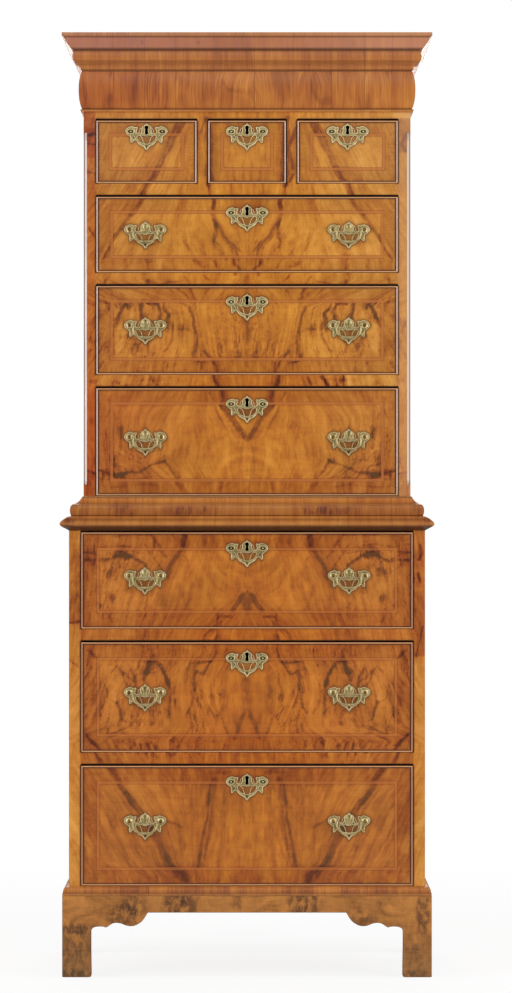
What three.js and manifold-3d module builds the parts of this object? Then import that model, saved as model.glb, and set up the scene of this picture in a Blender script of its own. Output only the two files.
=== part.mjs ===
// A chest on chest: a case of three long drawers carries a narrower case with three short and
// three long drawers, under a moulded cornice. Millimetres, +Z up, front towards -Y,
// origin on the floor under the middle of the piece.
import * as THREE from 'three';
import { mergeVertices } from 'three/addons/utils/BufferGeometryUtils.js';
import Module from 'manifold-3d';

const wasm = await Module();
wasm.setup();

// Gaps between pieces that touch, and how far a cutter runs past what it cuts
const seam = 0.3;
const overrun = 4;

// Cases, openings listed from the bottom up
const rail = 23;
const boardThickness = 20;
const backThickness = 12;
const lower = { width: 712, depth: 470, side: 23, openings: [244, 224, 197] };
const upper = { setback: 28, side: 24, openings: [220, 182, 156], floorRise: 49 };
const shortDrawers = { height: 130, centreWidth: 159, partition: 20 };
const corner = { cant: 7, blockBelow: 31, blockAbove: 28, tongue: 20, stop: 8 };

// Mouldings, each with how far it stands out and how tall it is
const cornice = { projection: 42, height: 155, lap: 6, ground: 20, dustBoard: 12, dustBoardDrop: 8 };
const waist = { nose: 18, height: 68 };
const base = { projection: 13, mouldingHeight: 18, plinthHeight: 163, apron: 129, plank: 18 };
const foot = { bracketWidth: 171, block: 38, rearBlock: 20, rearRail: 20 };

// Drawers
const drawer = {
  frontThickness: 20, lining: 10, bottom: 8, backDrop: 8, sideDrop: 4,
  sideGap: 1.5, topGap: 3.5, lift: 0.8, rearClearance: 24,
};
const bead = { width: 3.2, projection: 1.6 };

// Brasses
const plate = { width: 84.5, thickness: 1.6, postSpacing: 63.5 };
const handle = { spacing: 408, aboveMiddle: 9.5 };
const post = { radius: 5, length: 13, eyeDistance: 8, eyeRadius: 2, eyeDepth: 7 };
const bail = {
  legGap: 0.85, drop: 23.6, pinRadius: 1.4, legRadius: 1.7, gripRadius: 2.5, bend: 3, pinEnd: 0.6,
};
const keyhole = {
  drop: 32, shortDrop: 22, headRadius: 2.7, neck: 3, footRadius: 2.6, above: 7.6, below: 1.6,
};

// Counts of facets
const facets = { eye: 8, post: 8, bail: 6, bend: 2, keyhole: 4 };

// Moulding outlines, as shares of the projection and of the height, from the bottom up. The waist's
// nose stands out from the lower case, and its cove lies within the upper case's setback.
const corniceShares = [
  [0.131, 0.003], [0.155, 0.016], [0.131, 0.029], [0.06, 0.035], [0.083, 0.042], [0.143, 0.084],
  [0.202, 0.161], [0.226, 0.258], [0.221, 0.342], [0.19, 0.419], [0.131, 0.484], [0.083, 0.523],
  [0.095, 0.532], [0.143, 0.545], [0.155, 0.568], [0.238, 0.606], [0.393, 0.626], [0.405, 0.639],
  [0.44, 0.642], [0.495, 0.665], [0.512, 0.703], [0.495, 0.742], [0.452, 0.774], [0.464, 0.79],
  [0.524, 0.794], [0.583, 0.806], [0.679, 0.839], [0.786, 0.877], [0.869, 0.913], [0.929, 0.945],
  [1, 0.955], [1, 1],
];
const noseShares = [
  [0.054, 0.008], [0.389, 0.059], [0.75, 0.11], [0.944, 0.154], [1, 0.206], [0.89, 0.257],
  [0.64, 0.316], [0.323, 0.375], [0.001, 0.419],
];
const coveShares = [
  [0.858, 0.434], [0.91, 0.485], [0.94, 0.574], [0.928, 0.647], [0.876, 0.721], [0.803, 0.743],
  [0.785, 0.765], [0.608, 0.787], [0.411, 0.831], [0.25, 0.89], [0.143, 0.956], [0.089, 1],
];
const baseShares = [
  [1, 0.2], [0.9, 0.32], [0.88, 0.5], [0.8, 0.68], [0.62, 0.84], [0.3, 0.96], [0.12, 1],
];

// One half of the pierced plate, as shares of its width from the line of the posts, top to bottom
const plateShares = [
  [0, 0.201], [0.038, 0.157], [0.085, 0.137], [0.114, 0.093], [0.121, 0.012], [0.149, -0.04],
  [0.195, -0.047], [0.232, -0.006], [0.214, 0.102], [0.285, 0.102], [0.343, 0.128], [0.406, 0.114],
  [0.479, 0.065], [0.5, 0], [0.462, -0.066], [0.406, -0.115], [0.374, -0.147], [0.378, -0.234],
  [0.357, -0.275], [0.31, -0.234], [0.27, -0.211], [0.238, -0.226], [0.206, -0.275],
  [0.157, -0.322], [0.093, -0.355], [0.046, -0.387], [0, -0.446],
];
const crescentShares = [
  [0, -0.118], [0.107, -0.094], [0.154, -0.109], [0.213, -0.112], [0.206, -0.147],
  [0.166, -0.194], [0.083, -0.211], [0, -0.243],
];

// The bracket of a foot, as shares of the bracket's width and of the apron's height from the floor
const bracketShares = [
  [0, 0], [0.342, 0], [0.336, 0.658], [0.343, 0.737], [0.372, 0.767], [0.418, 0.782],
  [0.477, 0.787], [0.506, 0.773], [0.537, 0.787], [0.581, 0.827], [0.626, 0.841], [0.685, 0.832],
  [0.745, 0.801], [0.805, 0.793], [0.864, 0.807], [0.924, 0.857], [0.961, 0.916], [1, 1],
];

// Turned post, as shares of its radius and of its length from the plate
const postShares = [[0, 0], [1, 0], [0.62, 0.2], [0.98, 0.46], [0.92, 0.78], [0, 1]];

// Half of a bail below its bend, as shares of the leg's distance, of the drop and of the swelling
const gripShares = [[1, 0.42, 0], [0.93, 0.66, 0.3], [0.76, 0.85, 0.6], [0.5, 0.95, 0.85], [0.24, 0.99, 1]];

// The rounded bead of a drawer front, as shares of its width from the edge and of its projection
const beadShares = [[0.1, 0.6], [0.5, 1], [0.9, 0.6], [1, 0]];

// The carved stop of a canted corner, as shares of the cut's depth and of the stop's length
const tongueShares = [[0.93, 0.16], [0.62, 0.34], [0.5, 0.5], [0.42, 0.72], [0.2, 0.92]];

// Places worked out from the sizes
const upperWidth = lower.width - 2 * upper.setback;
const overallDepth = lower.depth + waist.nose;
const backY = overallDepth / 2;
const lowerFrontY = backY - lower.depth;
const upperFrontY = lowerFrontY + upper.setback;
const innerBackY = backY - backThickness;
const lowerFloor = base.plinthHeight + base.mouldingHeight;
const lowerFloors = openingFloors(lowerFloor, lower.openings);
const lowerCeiling = lowerFloors.at(-1) + lower.openings.at(-1);
const lowerTop = lowerCeiling + boardThickness;
const upperFloor = lowerTop + upper.floorRise;
const upperFloors = openingFloors(upperFloor, upper.openings);
const shortFloor = upperFloors.at(-1) + upper.openings.at(-1) + rail;
const upperCeiling = shortFloor + shortDrawers.height;
const upperTop = upperCeiling + boardThickness;
const corniceFoot = upperTop - cornice.lap;
const upperOpening = upperWidth - 2 * upper.side;
const lowerOpening = lower.width - 2 * lower.side;
const partitionX = (shortDrawers.centreWidth + shortDrawers.partition) / 2;
const sideOpening = (upperOpening - shortDrawers.centreWidth) / 2 - shortDrawers.partition;

const finish = {
  walnut: surface(0xc08038, 0.38),
  crossWalnut: surface(0xa8663a, 0.38),
  oak: surface(0xb08d5c, 0.7),
  pine: surface(0xa67f4e, 0.8),
  brass: surface(0xc8b978, 0.35, 1),
};

function surface(color, roughness, metalness = 0) {
  return new THREE.MeshStandardMaterial({ color, roughness, metalness, flatShading: true });
}

// The floor of each opening in a stack, with a rail between two openings
function openingFloors(floor, heights) {
  return heights.map((_, index) => (
    heights.slice(0, index).reduce((level, height) => level + height + rail, floor)
  ));
}

function piece(name, geometry, material) {
  const mesh = new THREE.Mesh(geometry, material);
  mesh.name = name;
  return mesh;
}

function boxGeometry(x, y, z) {
  const box = new THREE.BoxGeometry(x[1] - x[0], y[1] - y[0], z[1] - z[0]);
  return box.translate((x[0] + x[1]) / 2, (y[0] + y[1]) / 2, (z[0] + z[1]) / 2);
}

function board(name, x, y, z, material) {
  return piece(name, boxGeometry(x, y, z), material);
}

const around = half => [-half, half];

// A closed mesh as a solid that can be cut and joined, and back again
function solid(geometry) {
  const bare = geometry.clone();
  bare.deleteAttribute('normal');
  bare.deleteAttribute('uv');
  const merged = mergeVertices(bare);
  const index = Array.from(merged.index.array);
  const triangles = [];
  for (let i = 0; i < index.length; i += 3) {
    const [a, b, c] = index.slice(i, i + 3);
    if (a !== b && b !== c && c !== a) triangles.push(a, b, c);
  }
  return new wasm.Manifold(new wasm.Mesh({
    numProp: 3,
    vertProperties: new Float32Array(merged.attributes.position.array),
    triVerts: new Uint32Array(triangles),
  }));
}

function geometryOf(manifold) {
  const mesh = manifold.getMesh();
  const geometry = new THREE.BufferGeometry();
  geometry.setAttribute('position', new THREE.BufferAttribute(mesh.vertProperties.slice(), 3));
  geometry.setIndex(new THREE.BufferAttribute(mesh.triVerts.slice(), 1));
  return geometry;
}

function joined(geometries) {
  return geometries.map(solid).reduce((whole, part) => whole.add(part));
}

// A skin over rings of points that follow one flat outline, closed at both ends
function loft(rings, outline) {
  const flat = outline.map(([u, v]) => new THREE.Vector2(u, v));
  const turned = THREE.ShapeUtils.isClockWise(flat);
  const order = turned ? ring => ring.slice().reverse() : ring => ring;
  const points = rings.flatMap(order);
  const count = outline.length;
  const last = (rings.length - 1) * count;
  const faces = [];
  for (let start = 0; start < last; start += count) {
    for (let i = 0; i < count; i += 1) {
      const here = start + i;
      const next = start + (i + 1) % count;
      faces.push([here, next, next + count], [here, next + count, here + count]);
    }
  }
  for (const [a, b, c] of THREE.ShapeUtils.triangulateShape(order(flat), [])) {
    faces.push([a, c, b], [last + a, last + b, last + c]);
  }
  return facingOut(points, faces);
}

// A mesh of these points, with its faces turned to face out
function facingOut(points, faces) {
  const at = index => new THREE.Vector3(...points[index]);
  const volume = faces.reduce((sum, [a, b, c]) => sum + at(a).dot(at(b).cross(at(c))), 0);
  const index = faces.flatMap(([a, b, c]) => (volume > 0 ? [a, b, c] : [a, c, b]));
  const geometry = new THREE.BufferGeometry();
  geometry.setAttribute('position', new THREE.Float32BufferAttribute(points.flat(), 3));
  geometry.setIndex(index);
  return geometry;
}

// A profile of [out, up] points carried along one side, the front and the other side, mitred
function mitredRun(profile, halfWidth, frontY) {
  const rings = [
    ([out, up]) => [-halfWidth - out, backY, up],
    ([out, up]) => [-halfWidth - out, frontY - out, up],
    ([out, up]) => [halfWidth + out, frontY - out, up],
    ([out, up]) => [halfWidth + out, backY, up],
  ].map(place => profile.map(place));
  return loft(rings, profile);
}

const scaled = (shares, width, height, floor) => (
  shares.map(([across, up]) => [across * width, floor + up * height])
);

// Cornice: mouldings and cushion frieze on a ground that sits on the top board, with a dust board
function makeCornice() {
  const top = corniceFoot + cornice.height;
  const seat = upperTop + seam;
  const profile = [
    [seam, corniceFoot],
    ...scaled(corniceShares, cornice.projection, cornice.height, corniceFoot),
    [-cornice.ground, top],
    [-cornice.ground, seat],
    [seam, seat],
  ];
  const halfWidth = upperWidth / 2;
  const inside = around(halfWidth - cornice.ground + overrun);
  const ceiling = top - cornice.dustBoardDrop;
  const frame = joined([
    mitredRun(profile, halfWidth, upperFrontY),
    boxGeometry(inside, [backY - cornice.ground, backY], [seat, ceiling]),
    boxGeometry(
      inside,
      [upperFrontY + cornice.ground - overrun, backY],
      [ceiling - cornice.dustBoard, ceiling],
    ),
  ]);
  return piece('cornice', geometryOf(frame), finish.crossWalnut);
}

// Waist moulding: nose round the top edge of the lower case, torus and cove round the upper case
function makeWaist() {
  const inner = upper.setback + seam;
  const nose = scaled(noseShares, waist.nose, waist.height, lowerCeiling);
  const profile = [
    [inner, lowerCeiling],
    ...nose.map(([out, up]) => [upper.setback + out, up]),
    ...scaled(coveShares, upper.setback, waist.height, lowerCeiling),
    [seam, lowerCeiling + waist.height],
    [seam, lowerTop + seam],
    [inner, lowerTop + seam],
  ];
  return piece('waist_moulding', mitredRun(profile, upperWidth / 2, upperFrontY), finish.crossWalnut);
}

// One face of a bracket foot, outer corner at x = 0 and plank thickness along y
function bracket(direction) {
  const reach = foot.bracketWidth * direction;
  const outline = scaled(bracketShares, reach, base.apron, 0);
  outline.push([reach, base.apron + overrun], [0, base.apron + overrun]);
  const shape = new THREE.Shape(outline.map(([x, z]) => new THREE.Vector2(x, z)));
  const slab = new THREE.ExtrudeGeometry(shape, { depth: base.plank, bevelEnabled: false });
  return slab.rotateX(Math.PI / 2).translate(0, base.plank, 0);
}

// Base: moulding and plinth on three sides, a rear rail, bracket feet at the front corners, and at the
// back ends of the side boards, each with a block behind it
function makeBase() {
  const seat = base.plinthHeight - seam;
  const inner = base.projection - base.plank;
  const profile = [
    [inner, base.apron],
    [base.projection, base.apron],
    ...scaled(baseShares, base.projection, base.mouldingHeight, base.plinthHeight),
    [seam, lowerFloor - seam],
    [seam, seat],
    [inner, seat],
  ];
  const halfWidth = lower.width / 2;
  const outerX = halfWidth + base.projection;
  const outerY = lowerFrontY - base.projection;
  const innerX = outerX - base.plank;
  const parts = [
    mitredRun(profile, halfWidth, lowerFrontY),
    boxGeometry(around(innerX + overrun), [backY - foot.rearRail, backY], [base.apron, seat]),
  ];
  for (const side of [-1, 1]) {
    parts.push(bracket(-side).translate(side * outerX, outerY, 0));
    const ends = [
      { y: outerY, turn: 1, wide: foot.block, from: base.plank - overrun },
      { y: backY, turn: -1, wide: foot.rearBlock, from: 0 },
    ];
    for (const { y, turn, wide, from } of ends) {
      const face = bracket(turn).rotateZ(Math.PI / 2);
      parts.push(face.translate(side > 0 ? outerX : base.plank - outerX, y, 0));
      const blockX = [innerX - wide, innerX + overrun].map(x => x * side).sort((a, b) => a - b);
      const blockY = [y + turn * from, y + turn * (base.plank + foot.block)].sort((a, b) => a - b);
      parts.push(boxGeometry(blockX, blockY, [0, seat]));
    }
  }
  return piece('bracket_base', geometryOf(joined(parts)), finish.crossWalnut);
}

// The lower case is a box of boards: the bottom carries the sides and the top lies over them
function makeLowerCase() {
  const group = new THREE.Group();
  const half = lower.width / 2;
  const across = around(half);
  const depth = [lowerFrontY, innerBackY - seam];
  const inside = around(lowerOpening / 2 - seam);
  const tall = [lowerFloor, lowerCeiling - seam];
  const { plinthHeight } = base;
  group.add(
    board('lower_bottom_board', across, depth, [plinthHeight, lowerFloor - seam], finish.pine),
    board('lower_side_left', [-half, lower.side - half], depth, tall, finish.walnut),
    board('lower_side_right', [half - lower.side, half], depth, tall, finish.walnut),
    board('lower_top_board', across, depth, [lowerCeiling, lowerTop], finish.pine),
    board('lower_back', across, [innerBackY, backY], [plinthHeight, lowerTop], finish.pine),
  );
  lowerFloors.slice(1).forEach((floor, index) => {
    const name = `lower_divider_${lowerFloors.length - 1 - index}`;
    group.add(board(name, inside, depth, [floor - rail, floor], finish.walnut));
  });
  return group;
}

// The cutter of a canted corner, in the plane through the corner's bisector
function cantCutter(bottom, top) {
  const deep = corner.cant * Math.SQRT1_2;
  const tongue = tongueShares.map(([across, up]) => [across * deep, top + up * corner.tongue]);
  const outline = [
    [-overrun, bottom - corner.stop],
    [0, bottom - corner.stop],
    [deep, bottom],
    [deep, top],
    ...tongue,
    [0, top + corner.tongue],
    [-overrun, top + corner.tongue],
  ];
  const shape = new THREE.Shape(outline.map(([u, v]) => new THREE.Vector2(u, v)));
  const width = 2 * (corner.cant + overrun);
  const cutter = new THREE.ExtrudeGeometry(shape, { depth: width, bevelEnabled: false });
  return cutter.translate(0, 0, -width / 2);
}

// A side of the upper case, with its outer front corner canted between two square blocks
function makeUpperSide(name, side) {
  const half = upperWidth / 2;
  const x = [half - upper.side, half].map(value => value * side).sort((a, b) => a - b);
  const z = [lowerTop + seam, upperCeiling - seam];
  const uncut = solid(boxGeometry(x, [upperFrontY, innerBackY - seam], z));
  const inward = new THREE.Vector3(-side, 1, 0).normalize();
  const up = new THREE.Vector3(0, 0, 1);
  const frame = new THREE.Matrix4().makeBasis(inward, up, inward.clone().cross(up));
  frame.setPosition(side * half, upperFrontY, 0);
  const cantTop = upperCeiling - corner.blockAbove - corner.tongue;
  const cutter = cantCutter(upperFloor + corner.blockBelow, cantTop);
  return piece(name, geometryOf(uncut.subtract(solid(cutter.applyMatrix4(frame)))), finish.walnut);
}

// The divider under the short drawers carries the two upright partitions between them
function makePartitionedDivider(inside, depth) {
  const z = [shortFloor - rail, upperCeiling - seam];
  const parts = [boxGeometry(inside, depth, [shortFloor - rail, shortFloor])];
  for (const side of [-1, 1]) {
    const middle = side * partitionX;
    const x = [middle - shortDrawers.partition / 2, middle + shortDrawers.partition / 2];
    parts.push(boxGeometry(x, depth, z));
  }
  return piece('upper_divider_1', geometryOf(joined(parts)), finish.walnut);
}

function makeUpperCase() {
  const group = new THREE.Group();
  const half = upperWidth / 2;
  const depth = [upperFrontY, innerBackY - seam];
  const inside = around(upperOpening / 2 - seam);
  group.add(
    makeUpperSide('upper_side_left', -1),
    makeUpperSide('upper_side_right', 1),
    board('upper_bottom_board', inside, depth, [upperFloor - boardThickness, upperFloor], finish.pine),
    board('upper_top_board', around(half), depth, [upperCeiling, upperTop], finish.walnut),
    board('upper_back', around(half), [innerBackY, backY], [lowerTop + seam, upperTop], finish.pine),
    makePartitionedDivider(inside, depth),
  );
  upperFloors.slice(1).forEach((floor, index) => {
    const name = `upper_divider_${upperFloors.length - index}`;
    group.add(board(name, inside, depth, [floor - rail, floor], finish.walnut));
  });
  return group;
}

// A keyhole: round head, narrow neck and round foot, cut along the depth of the drawer front
function keyholeCutter(z) {
  const shape = new THREE.Shape();
  const lean = Math.asin(keyhole.neck / 2 / keyhole.headRadius);
  const spread = Math.asin(keyhole.neck / 2 / keyhole.footRadius);
  const quarter = Math.PI / 2;
  shape.absarc(0, keyhole.above, keyhole.headRadius, lean - quarter, 3 * quarter - lean, false);
  shape.absarc(0, -keyhole.below, keyhole.footRadius, quarter + spread, 5 * quarter - spread, false);
  const depth = drawer.frontThickness + 2 * overrun;
  const cutter = new THREE.ExtrudeGeometry(shape, {
    depth, bevelEnabled: false, curveSegments: facets.keyhole,
  });
  return cutter.rotateX(Math.PI / 2).translate(0, drawer.frontThickness + overrun, z);
}

// Drawer front: a board with a rounded bead standing proud round its edge, and its keyhole
function makeFront(name, width, height, keyDrop) {
  const profile = [
    [0, drawer.frontThickness],
    [0, 0],
    ...scaled(beadShares, bead.width, -bead.projection, 0),
  ];
  const rectangle = inset => [
    [inset - width / 2, inset],
    [width / 2 - inset, inset],
    [width / 2 - inset, height - inset],
    [inset - width / 2, height - inset],
  ];
  const rings = profile.map(([inset, y]) => rectangle(inset).map(([x, z]) => [x, y, z]));
  const front = solid(loft(rings, rectangle(0)));
  const cut = front.subtract(solid(keyholeCutter(height - keyDrop)));
  return piece(`${name}_front`, geometryOf(cut), finish.walnut);
}

// Drawer box: two sides, a lower back and a bottom, open above and closed in front by the front
function makeBox(name, width, height, length) {
  const start = drawer.frontThickness + seam;
  const side = width / 2 - drawer.lining;
  const outer = solid(boxGeometry(around(width / 2), [start, length], [0, height]));
  const room = boxGeometry(
    around(side),
    [start - overrun, length - drawer.lining],
    [drawer.bottom, height + overrun],
  );
  const backCut = boxGeometry(
    around(side),
    [length - drawer.lining - overrun, length + overrun],
    [height - drawer.backDrop, height + overrun],
  );
  const open = outer.subtract(solid(room)).subtract(solid(backCut));
  return piece(`${name}_box`, geometryOf(open), finish.oak);
}

// A closed curve through one half's points and their mirror images
function mirrored(shares) {
  const right = scaled(shares, plate.width, plate.width, 0).map(point => new THREE.Vector2(...point));
  const left = right.slice(1, -1).reverse().map(point => new THREE.Vector2(-point.x, point.y));
  return [...right, ...left];
}

// A post with a blind eye in its inner face, standing on the plate towards the front
function makePost(side) {
  const outline = scaled(postShares, post.radius, post.length, 0).map(point => new THREE.Vector2(...point));
  const turned = new THREE.LatheGeometry(outline, facets.post);
  turned.rotateX(Math.PI).translate(side * plate.postSpacing / 2, -plate.thickness / 2, 0);
  const reach = post.eyeDepth + overrun;
  const eye = new THREE.CylinderGeometry(post.eyeRadius, post.eyeRadius, reach, facets.eye);
  const inner = plate.postSpacing / 2 - post.radius - overrun + reach / 2;
  eye.rotateZ(Math.PI / 2).translate(side * inner, -plate.thickness - post.eyeDistance, 0);
  return solid(turned).subtract(solid(eye));
}

// A flat sheet with this outline, from one y to another
function sheet(shares, back, thickness) {
  const shape = new THREE.Shape(mirrored(shares));
  const flat = new THREE.ExtrudeGeometry(shape, { depth: thickness, bevelEnabled: false });
  return solid(flat.rotateX(Math.PI / 2).translate(0, back, 0));
}

// The pierced plate and its two posts, back face at y = 0
function makePlate(name) {
  const crescent = sheet(crescentShares, overrun, plate.thickness + 2 * overrun);
  const pierced = sheet(plateShares, 0, plate.thickness).subtract(crescent);
  return piece(name, geometryOf(pierced.add(makePost(-1)).add(makePost(1))), finish.brass);
}

// The centre line of half a bail and the rod's radius along it, from the pin's end to the grip
function bailPath() {
  const leg = plate.postSpacing / 2 - post.radius - bail.legRadius - bail.legGap;
  const pinEnd = plate.postSpacing / 2 - bail.pinEnd;
  const turn = leg + bail.bend;
  const start = [[pinEnd, 0, bail.pinRadius]];
  for (let i = 0; i <= facets.bend; i += 1) {
    const angle = Math.PI / 2 * (1 + i / facets.bend);
    const radius = bail.pinRadius + (bail.legRadius - bail.pinRadius) * i / facets.bend;
    start.push([turn + bail.bend * Math.cos(angle), bail.bend * (Math.sin(angle) - 1), radius]);
  }
  const grip = gripShares.map(([across, down, swell]) => [
    leg * across,
    -bail.drop * down,
    bail.legRadius + (bail.gripRadius - bail.legRadius) * swell,
  ]);
  return [...start, ...grip, [0, -bail.drop, bail.gripRadius]];
}

// Bail: a round rod swept along its centre line, thicker at the grip, pins turned outwards
function makeBail(name) {
  const half = bailPath();
  const path = [...half, ...half.slice(0, -1).reverse().map(([x, z, radius]) => [-x, z, radius])];
  const circle = Array.from({ length: facets.bail }, (_, i) => {
    const angle = 2 * Math.PI * i / facets.bail;
    return [Math.cos(angle), Math.sin(angle)];
  });
  const rings = path.map(([x, z, radius], i) => {
    const before = path[Math.max(i - 1, 0)];
    const after = path[Math.min(i + 1, path.length - 1)];
    const along = new THREE.Vector2(after[0] - before[0], after[1] - before[1]).normalize();
    return circle.map(([u, v]) => [x - along.y * u * radius, v * radius, z + along.x * u * radius]);
  });
  return piece(name, loft(rings, circle), finish.brass);
}

// A pair of handles on a drawer front
function addHandles(group, name, middle) {
  for (const [word, side] of [['left', -1], ['right', 1]]) {
    const place = new THREE.Group();
    place.position.set(side * handle.spacing / 2, -seam, middle + handle.aboveMiddle);
    const loop = makeBail(`${name}_bail_${word}`);
    loop.position.y = -plate.thickness - post.eyeDistance;
    place.add(makePlate(`${name}_handle_plate_${word}`), loop);
    group.add(place);
  }
}

// A whole drawer for an opening, its group's origin at the middle of the opening's front bottom edge
function makeDrawer({ name, x, frontY, floor, width, height, handled }) {
  const group = new THREE.Group();
  group.position.set(x, frontY, floor);
  const frontWidth = width - 2 * drawer.sideGap;
  const frontHeight = height - drawer.topGap - drawer.lift;
  const length = innerBackY - frontY - drawer.rearClearance;
  const front = makeFront(name, frontWidth, frontHeight, handled ? keyhole.drop : keyhole.shortDrop);
  front.position.z = drawer.lift;
  const box = makeBox(name, frontWidth, frontHeight - drawer.sideDrop, length);
  box.position.z = seam;
  group.add(front, box);
  if (handled) addHandles(group, name, drawer.lift + frontHeight / 2);
  return group;
}

// Every opening's drawer, long ones numbered from the top of each case
function makeDrawers() {
  const list = [];
  const stack = (label, frontY, floors, heights, width) => floors.forEach((floor, index) => {
    const name = `${label}_drawer_${floors.length - index}`;
    list.push({ name, x: 0, frontY, floor, width, height: heights[index], handled: true });
  });
  stack('lower', lowerFrontY, lowerFloors, lower.openings, lowerOpening);
  stack('upper', upperFrontY, upperFloors, upper.openings, upperOpening);
  const beside = (shortDrawers.centreWidth + sideOpening) / 2 + shortDrawers.partition;
  const shorts = [
    ['short_drawer_left', -beside, sideOpening],
    ['short_drawer_centre', 0, shortDrawers.centreWidth],
    ['short_drawer_right', beside, sideOpening],
  ];
  for (const [name, x, width] of shorts) {
    const place = { x, frontY: upperFrontY, floor: shortFloor };
    list.push({ name, ...place, width, height: shortDrawers.height, handled: false });
  }
  return list.map(makeDrawer);
}

const chest = new THREE.Group();
chest.add(makeBase(), makeLowerCase(), makeWaist(), makeUpperCase(), makeCornice(), ...makeDrawers());

export default chest;
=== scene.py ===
# Looks of a walnut chest on chest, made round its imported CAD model
import math

import bmesh
import bpy
import numpy as np
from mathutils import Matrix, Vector


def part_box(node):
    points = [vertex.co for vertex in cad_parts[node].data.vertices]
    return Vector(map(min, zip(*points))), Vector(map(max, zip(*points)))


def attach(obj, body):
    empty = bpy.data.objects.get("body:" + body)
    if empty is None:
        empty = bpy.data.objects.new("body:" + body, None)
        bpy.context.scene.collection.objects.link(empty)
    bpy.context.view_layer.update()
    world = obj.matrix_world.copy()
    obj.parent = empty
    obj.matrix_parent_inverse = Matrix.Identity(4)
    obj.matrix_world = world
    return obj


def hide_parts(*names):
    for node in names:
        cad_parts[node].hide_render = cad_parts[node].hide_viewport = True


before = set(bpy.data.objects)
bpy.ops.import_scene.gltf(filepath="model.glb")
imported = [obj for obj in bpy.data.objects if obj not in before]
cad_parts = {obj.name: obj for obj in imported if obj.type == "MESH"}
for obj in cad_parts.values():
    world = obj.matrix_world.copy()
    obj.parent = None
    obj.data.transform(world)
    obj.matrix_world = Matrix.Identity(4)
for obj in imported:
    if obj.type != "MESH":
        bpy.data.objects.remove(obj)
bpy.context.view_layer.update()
print('packed model loaded')


def colour(red, green, blue):
    # a colour as a paint chart gives it, 0 to 255, turned to scene light
    share = np.array([red, green, blue]) / 255
    linear = np.where(share < 0.04045, share / 12.92, ((share + 0.055) / 1.055) ** 2.4)
    return (*map(float, linear), 1.0)


def corners(node):
    # lowest and highest corner of a CAD node, in millimetres
    return tuple(np.array(corner) * 1000 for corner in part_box(node))


def valueNoise(across, along, seed):
    # random numbers on whole points, joined by smooth steps both ways
    column, row = np.floor(across).astype(np.int64), np.floor(along).astype(np.int64)
    right, up = across - column, along - row
    right, up = (step * step * (3 - 2 * step) for step in (right, up))

    def number(i, j):
        mixed = (column + i) * 374761393 + (row + j) * 668265263 + seed * 974634777
        mixed = (mixed ^ (mixed >> 13)) * 1274126177
        return ((mixed ^ (mixed >> 16)) & 65535) / 65535

    low = number(0, 0) * (1 - right) + number(1, 0) * right
    high = number(0, 1) * (1 - right) + number(1, 1) * right
    return low * (1 - up) + high * up


def layered(across, along, seed, layers=4):
    # noise added to finer noise of half the strength, between -1 and 1
    total, strength, whole = 0, 1, 0
    for layer in range(layers):
        total = total + strength * valueNoise(across * 2 ** layer, along * 2 ** layer, seed + layer)
        whole += strength
        strength /= 2
    return 2 * total / whole - 1


def joined(*values):
    # arrays or numbers side by side, as the columns of one array
    return np.stack(np.broadcast_arrays(*values), -1)


def ease(value, low, high):
    # smooth step from 0 at low to 1 at high
    share = np.clip((value - low) / (high - low), 0, 1)
    return share * share * (3 - 2 * share)


def between(value, low, high, soft):
    # 1 between low and high, fading to 0 over the soft distance on either side of both
    return ease(value, low - soft, low + soft) * (1 - ease(value, high - soft, high + soft))


def throughPoints(points, steps, closed=False):
    # Catmull-Rom curve through the points, with this many steps between two of them
    points = np.asarray(points, float)
    ends = (points[-1:], points[:1], points[1:2]) if closed else (points[:1], points[-1:])
    padded = np.concatenate([ends[0], points, *ends[1:]])
    share = np.arange(steps)[:, None, None] / steps
    a, b, c, d = (padded[i:len(padded) - 3 + i][None] for i in range(4))
    curve = 0.5 * (
        2 * b + (c - a) * share + (2 * a - 5 * b + 4 * c - d) * share ** 2
        + (3 * b - a - 3 * c + d) * share ** 3
    )
    curve = curve.transpose(1, 0, 2).reshape(-1, points.shape[1])
    return curve if closed else np.concatenate([curve, points[-1:]])


def gridFaces(rows, columns, first=0, closed=False):
    # four-sided faces between the points of a grid laid out row by row
    index = first + np.arange(rows * columns).reshape(rows, columns)
    if closed:
        index = np.concatenate([index, index[:, :1]], axis=1)
    return joined(index[:-1, :-1], index[:-1, 1:], index[1:, 1:], index[1:, :-1]).reshape(-1, 4)


def newObject(name, data):
    made = bpy.data.objects.new(name, data)
    bpy.context.collection.objects.link(made)
    return made


def makePiece(name, points, faces, materials, kinds=None, onPoints=None, onCorners=None, sharp=32):
    # points in millimetres, faces as arrays with one row a face, kinds the material of each face
    faces = [np.atleast_2d(group) for group in faces if len(group)]
    loops = np.concatenate([group.ravel() for group in faces])
    counts = np.concatenate([np.full(len(group), group.shape[1]) for group in faces])
    mesh = bpy.data.meshes.new(name)
    mesh.vertices.add(len(points))
    mesh.vertices.foreach_set('co', (np.asarray(points, float) / 1000).ravel())
    mesh.loops.add(len(loops))
    mesh.loops.foreach_set('vertex_index', loops.astype(np.int32))
    mesh.polygons.add(len(counts))
    mesh.polygons.foreach_set('loop_start', (np.cumsum(counts) - counts).astype(np.int32))
    for domain, values in (('POINT', onPoints), ('CORNER', onCorners)):
        for label, vectors in (values or {}).items():
            attribute = mesh.attributes.new(label, 'FLOAT_VECTOR', domain)
            attribute.data.foreach_set('vector', np.asarray(vectors, float).ravel())
    for material in materials:
        mesh.materials.append(material)
    if kinds is not None:
        mesh.polygons.foreach_set('material_index', np.asarray(kinds, np.int32))
    mesh.update(calc_edges=True)
    mesh.shade_smooth()
    mesh.set_sharp_from_angle(angle=math.radians(sharp))
    return newObject(name, mesh)


def settle(made, body, slot, *nodes):
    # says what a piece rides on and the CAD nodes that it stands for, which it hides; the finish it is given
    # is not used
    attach(made, body)
    if nodes:
        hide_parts(*nodes)
    return made


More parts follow.
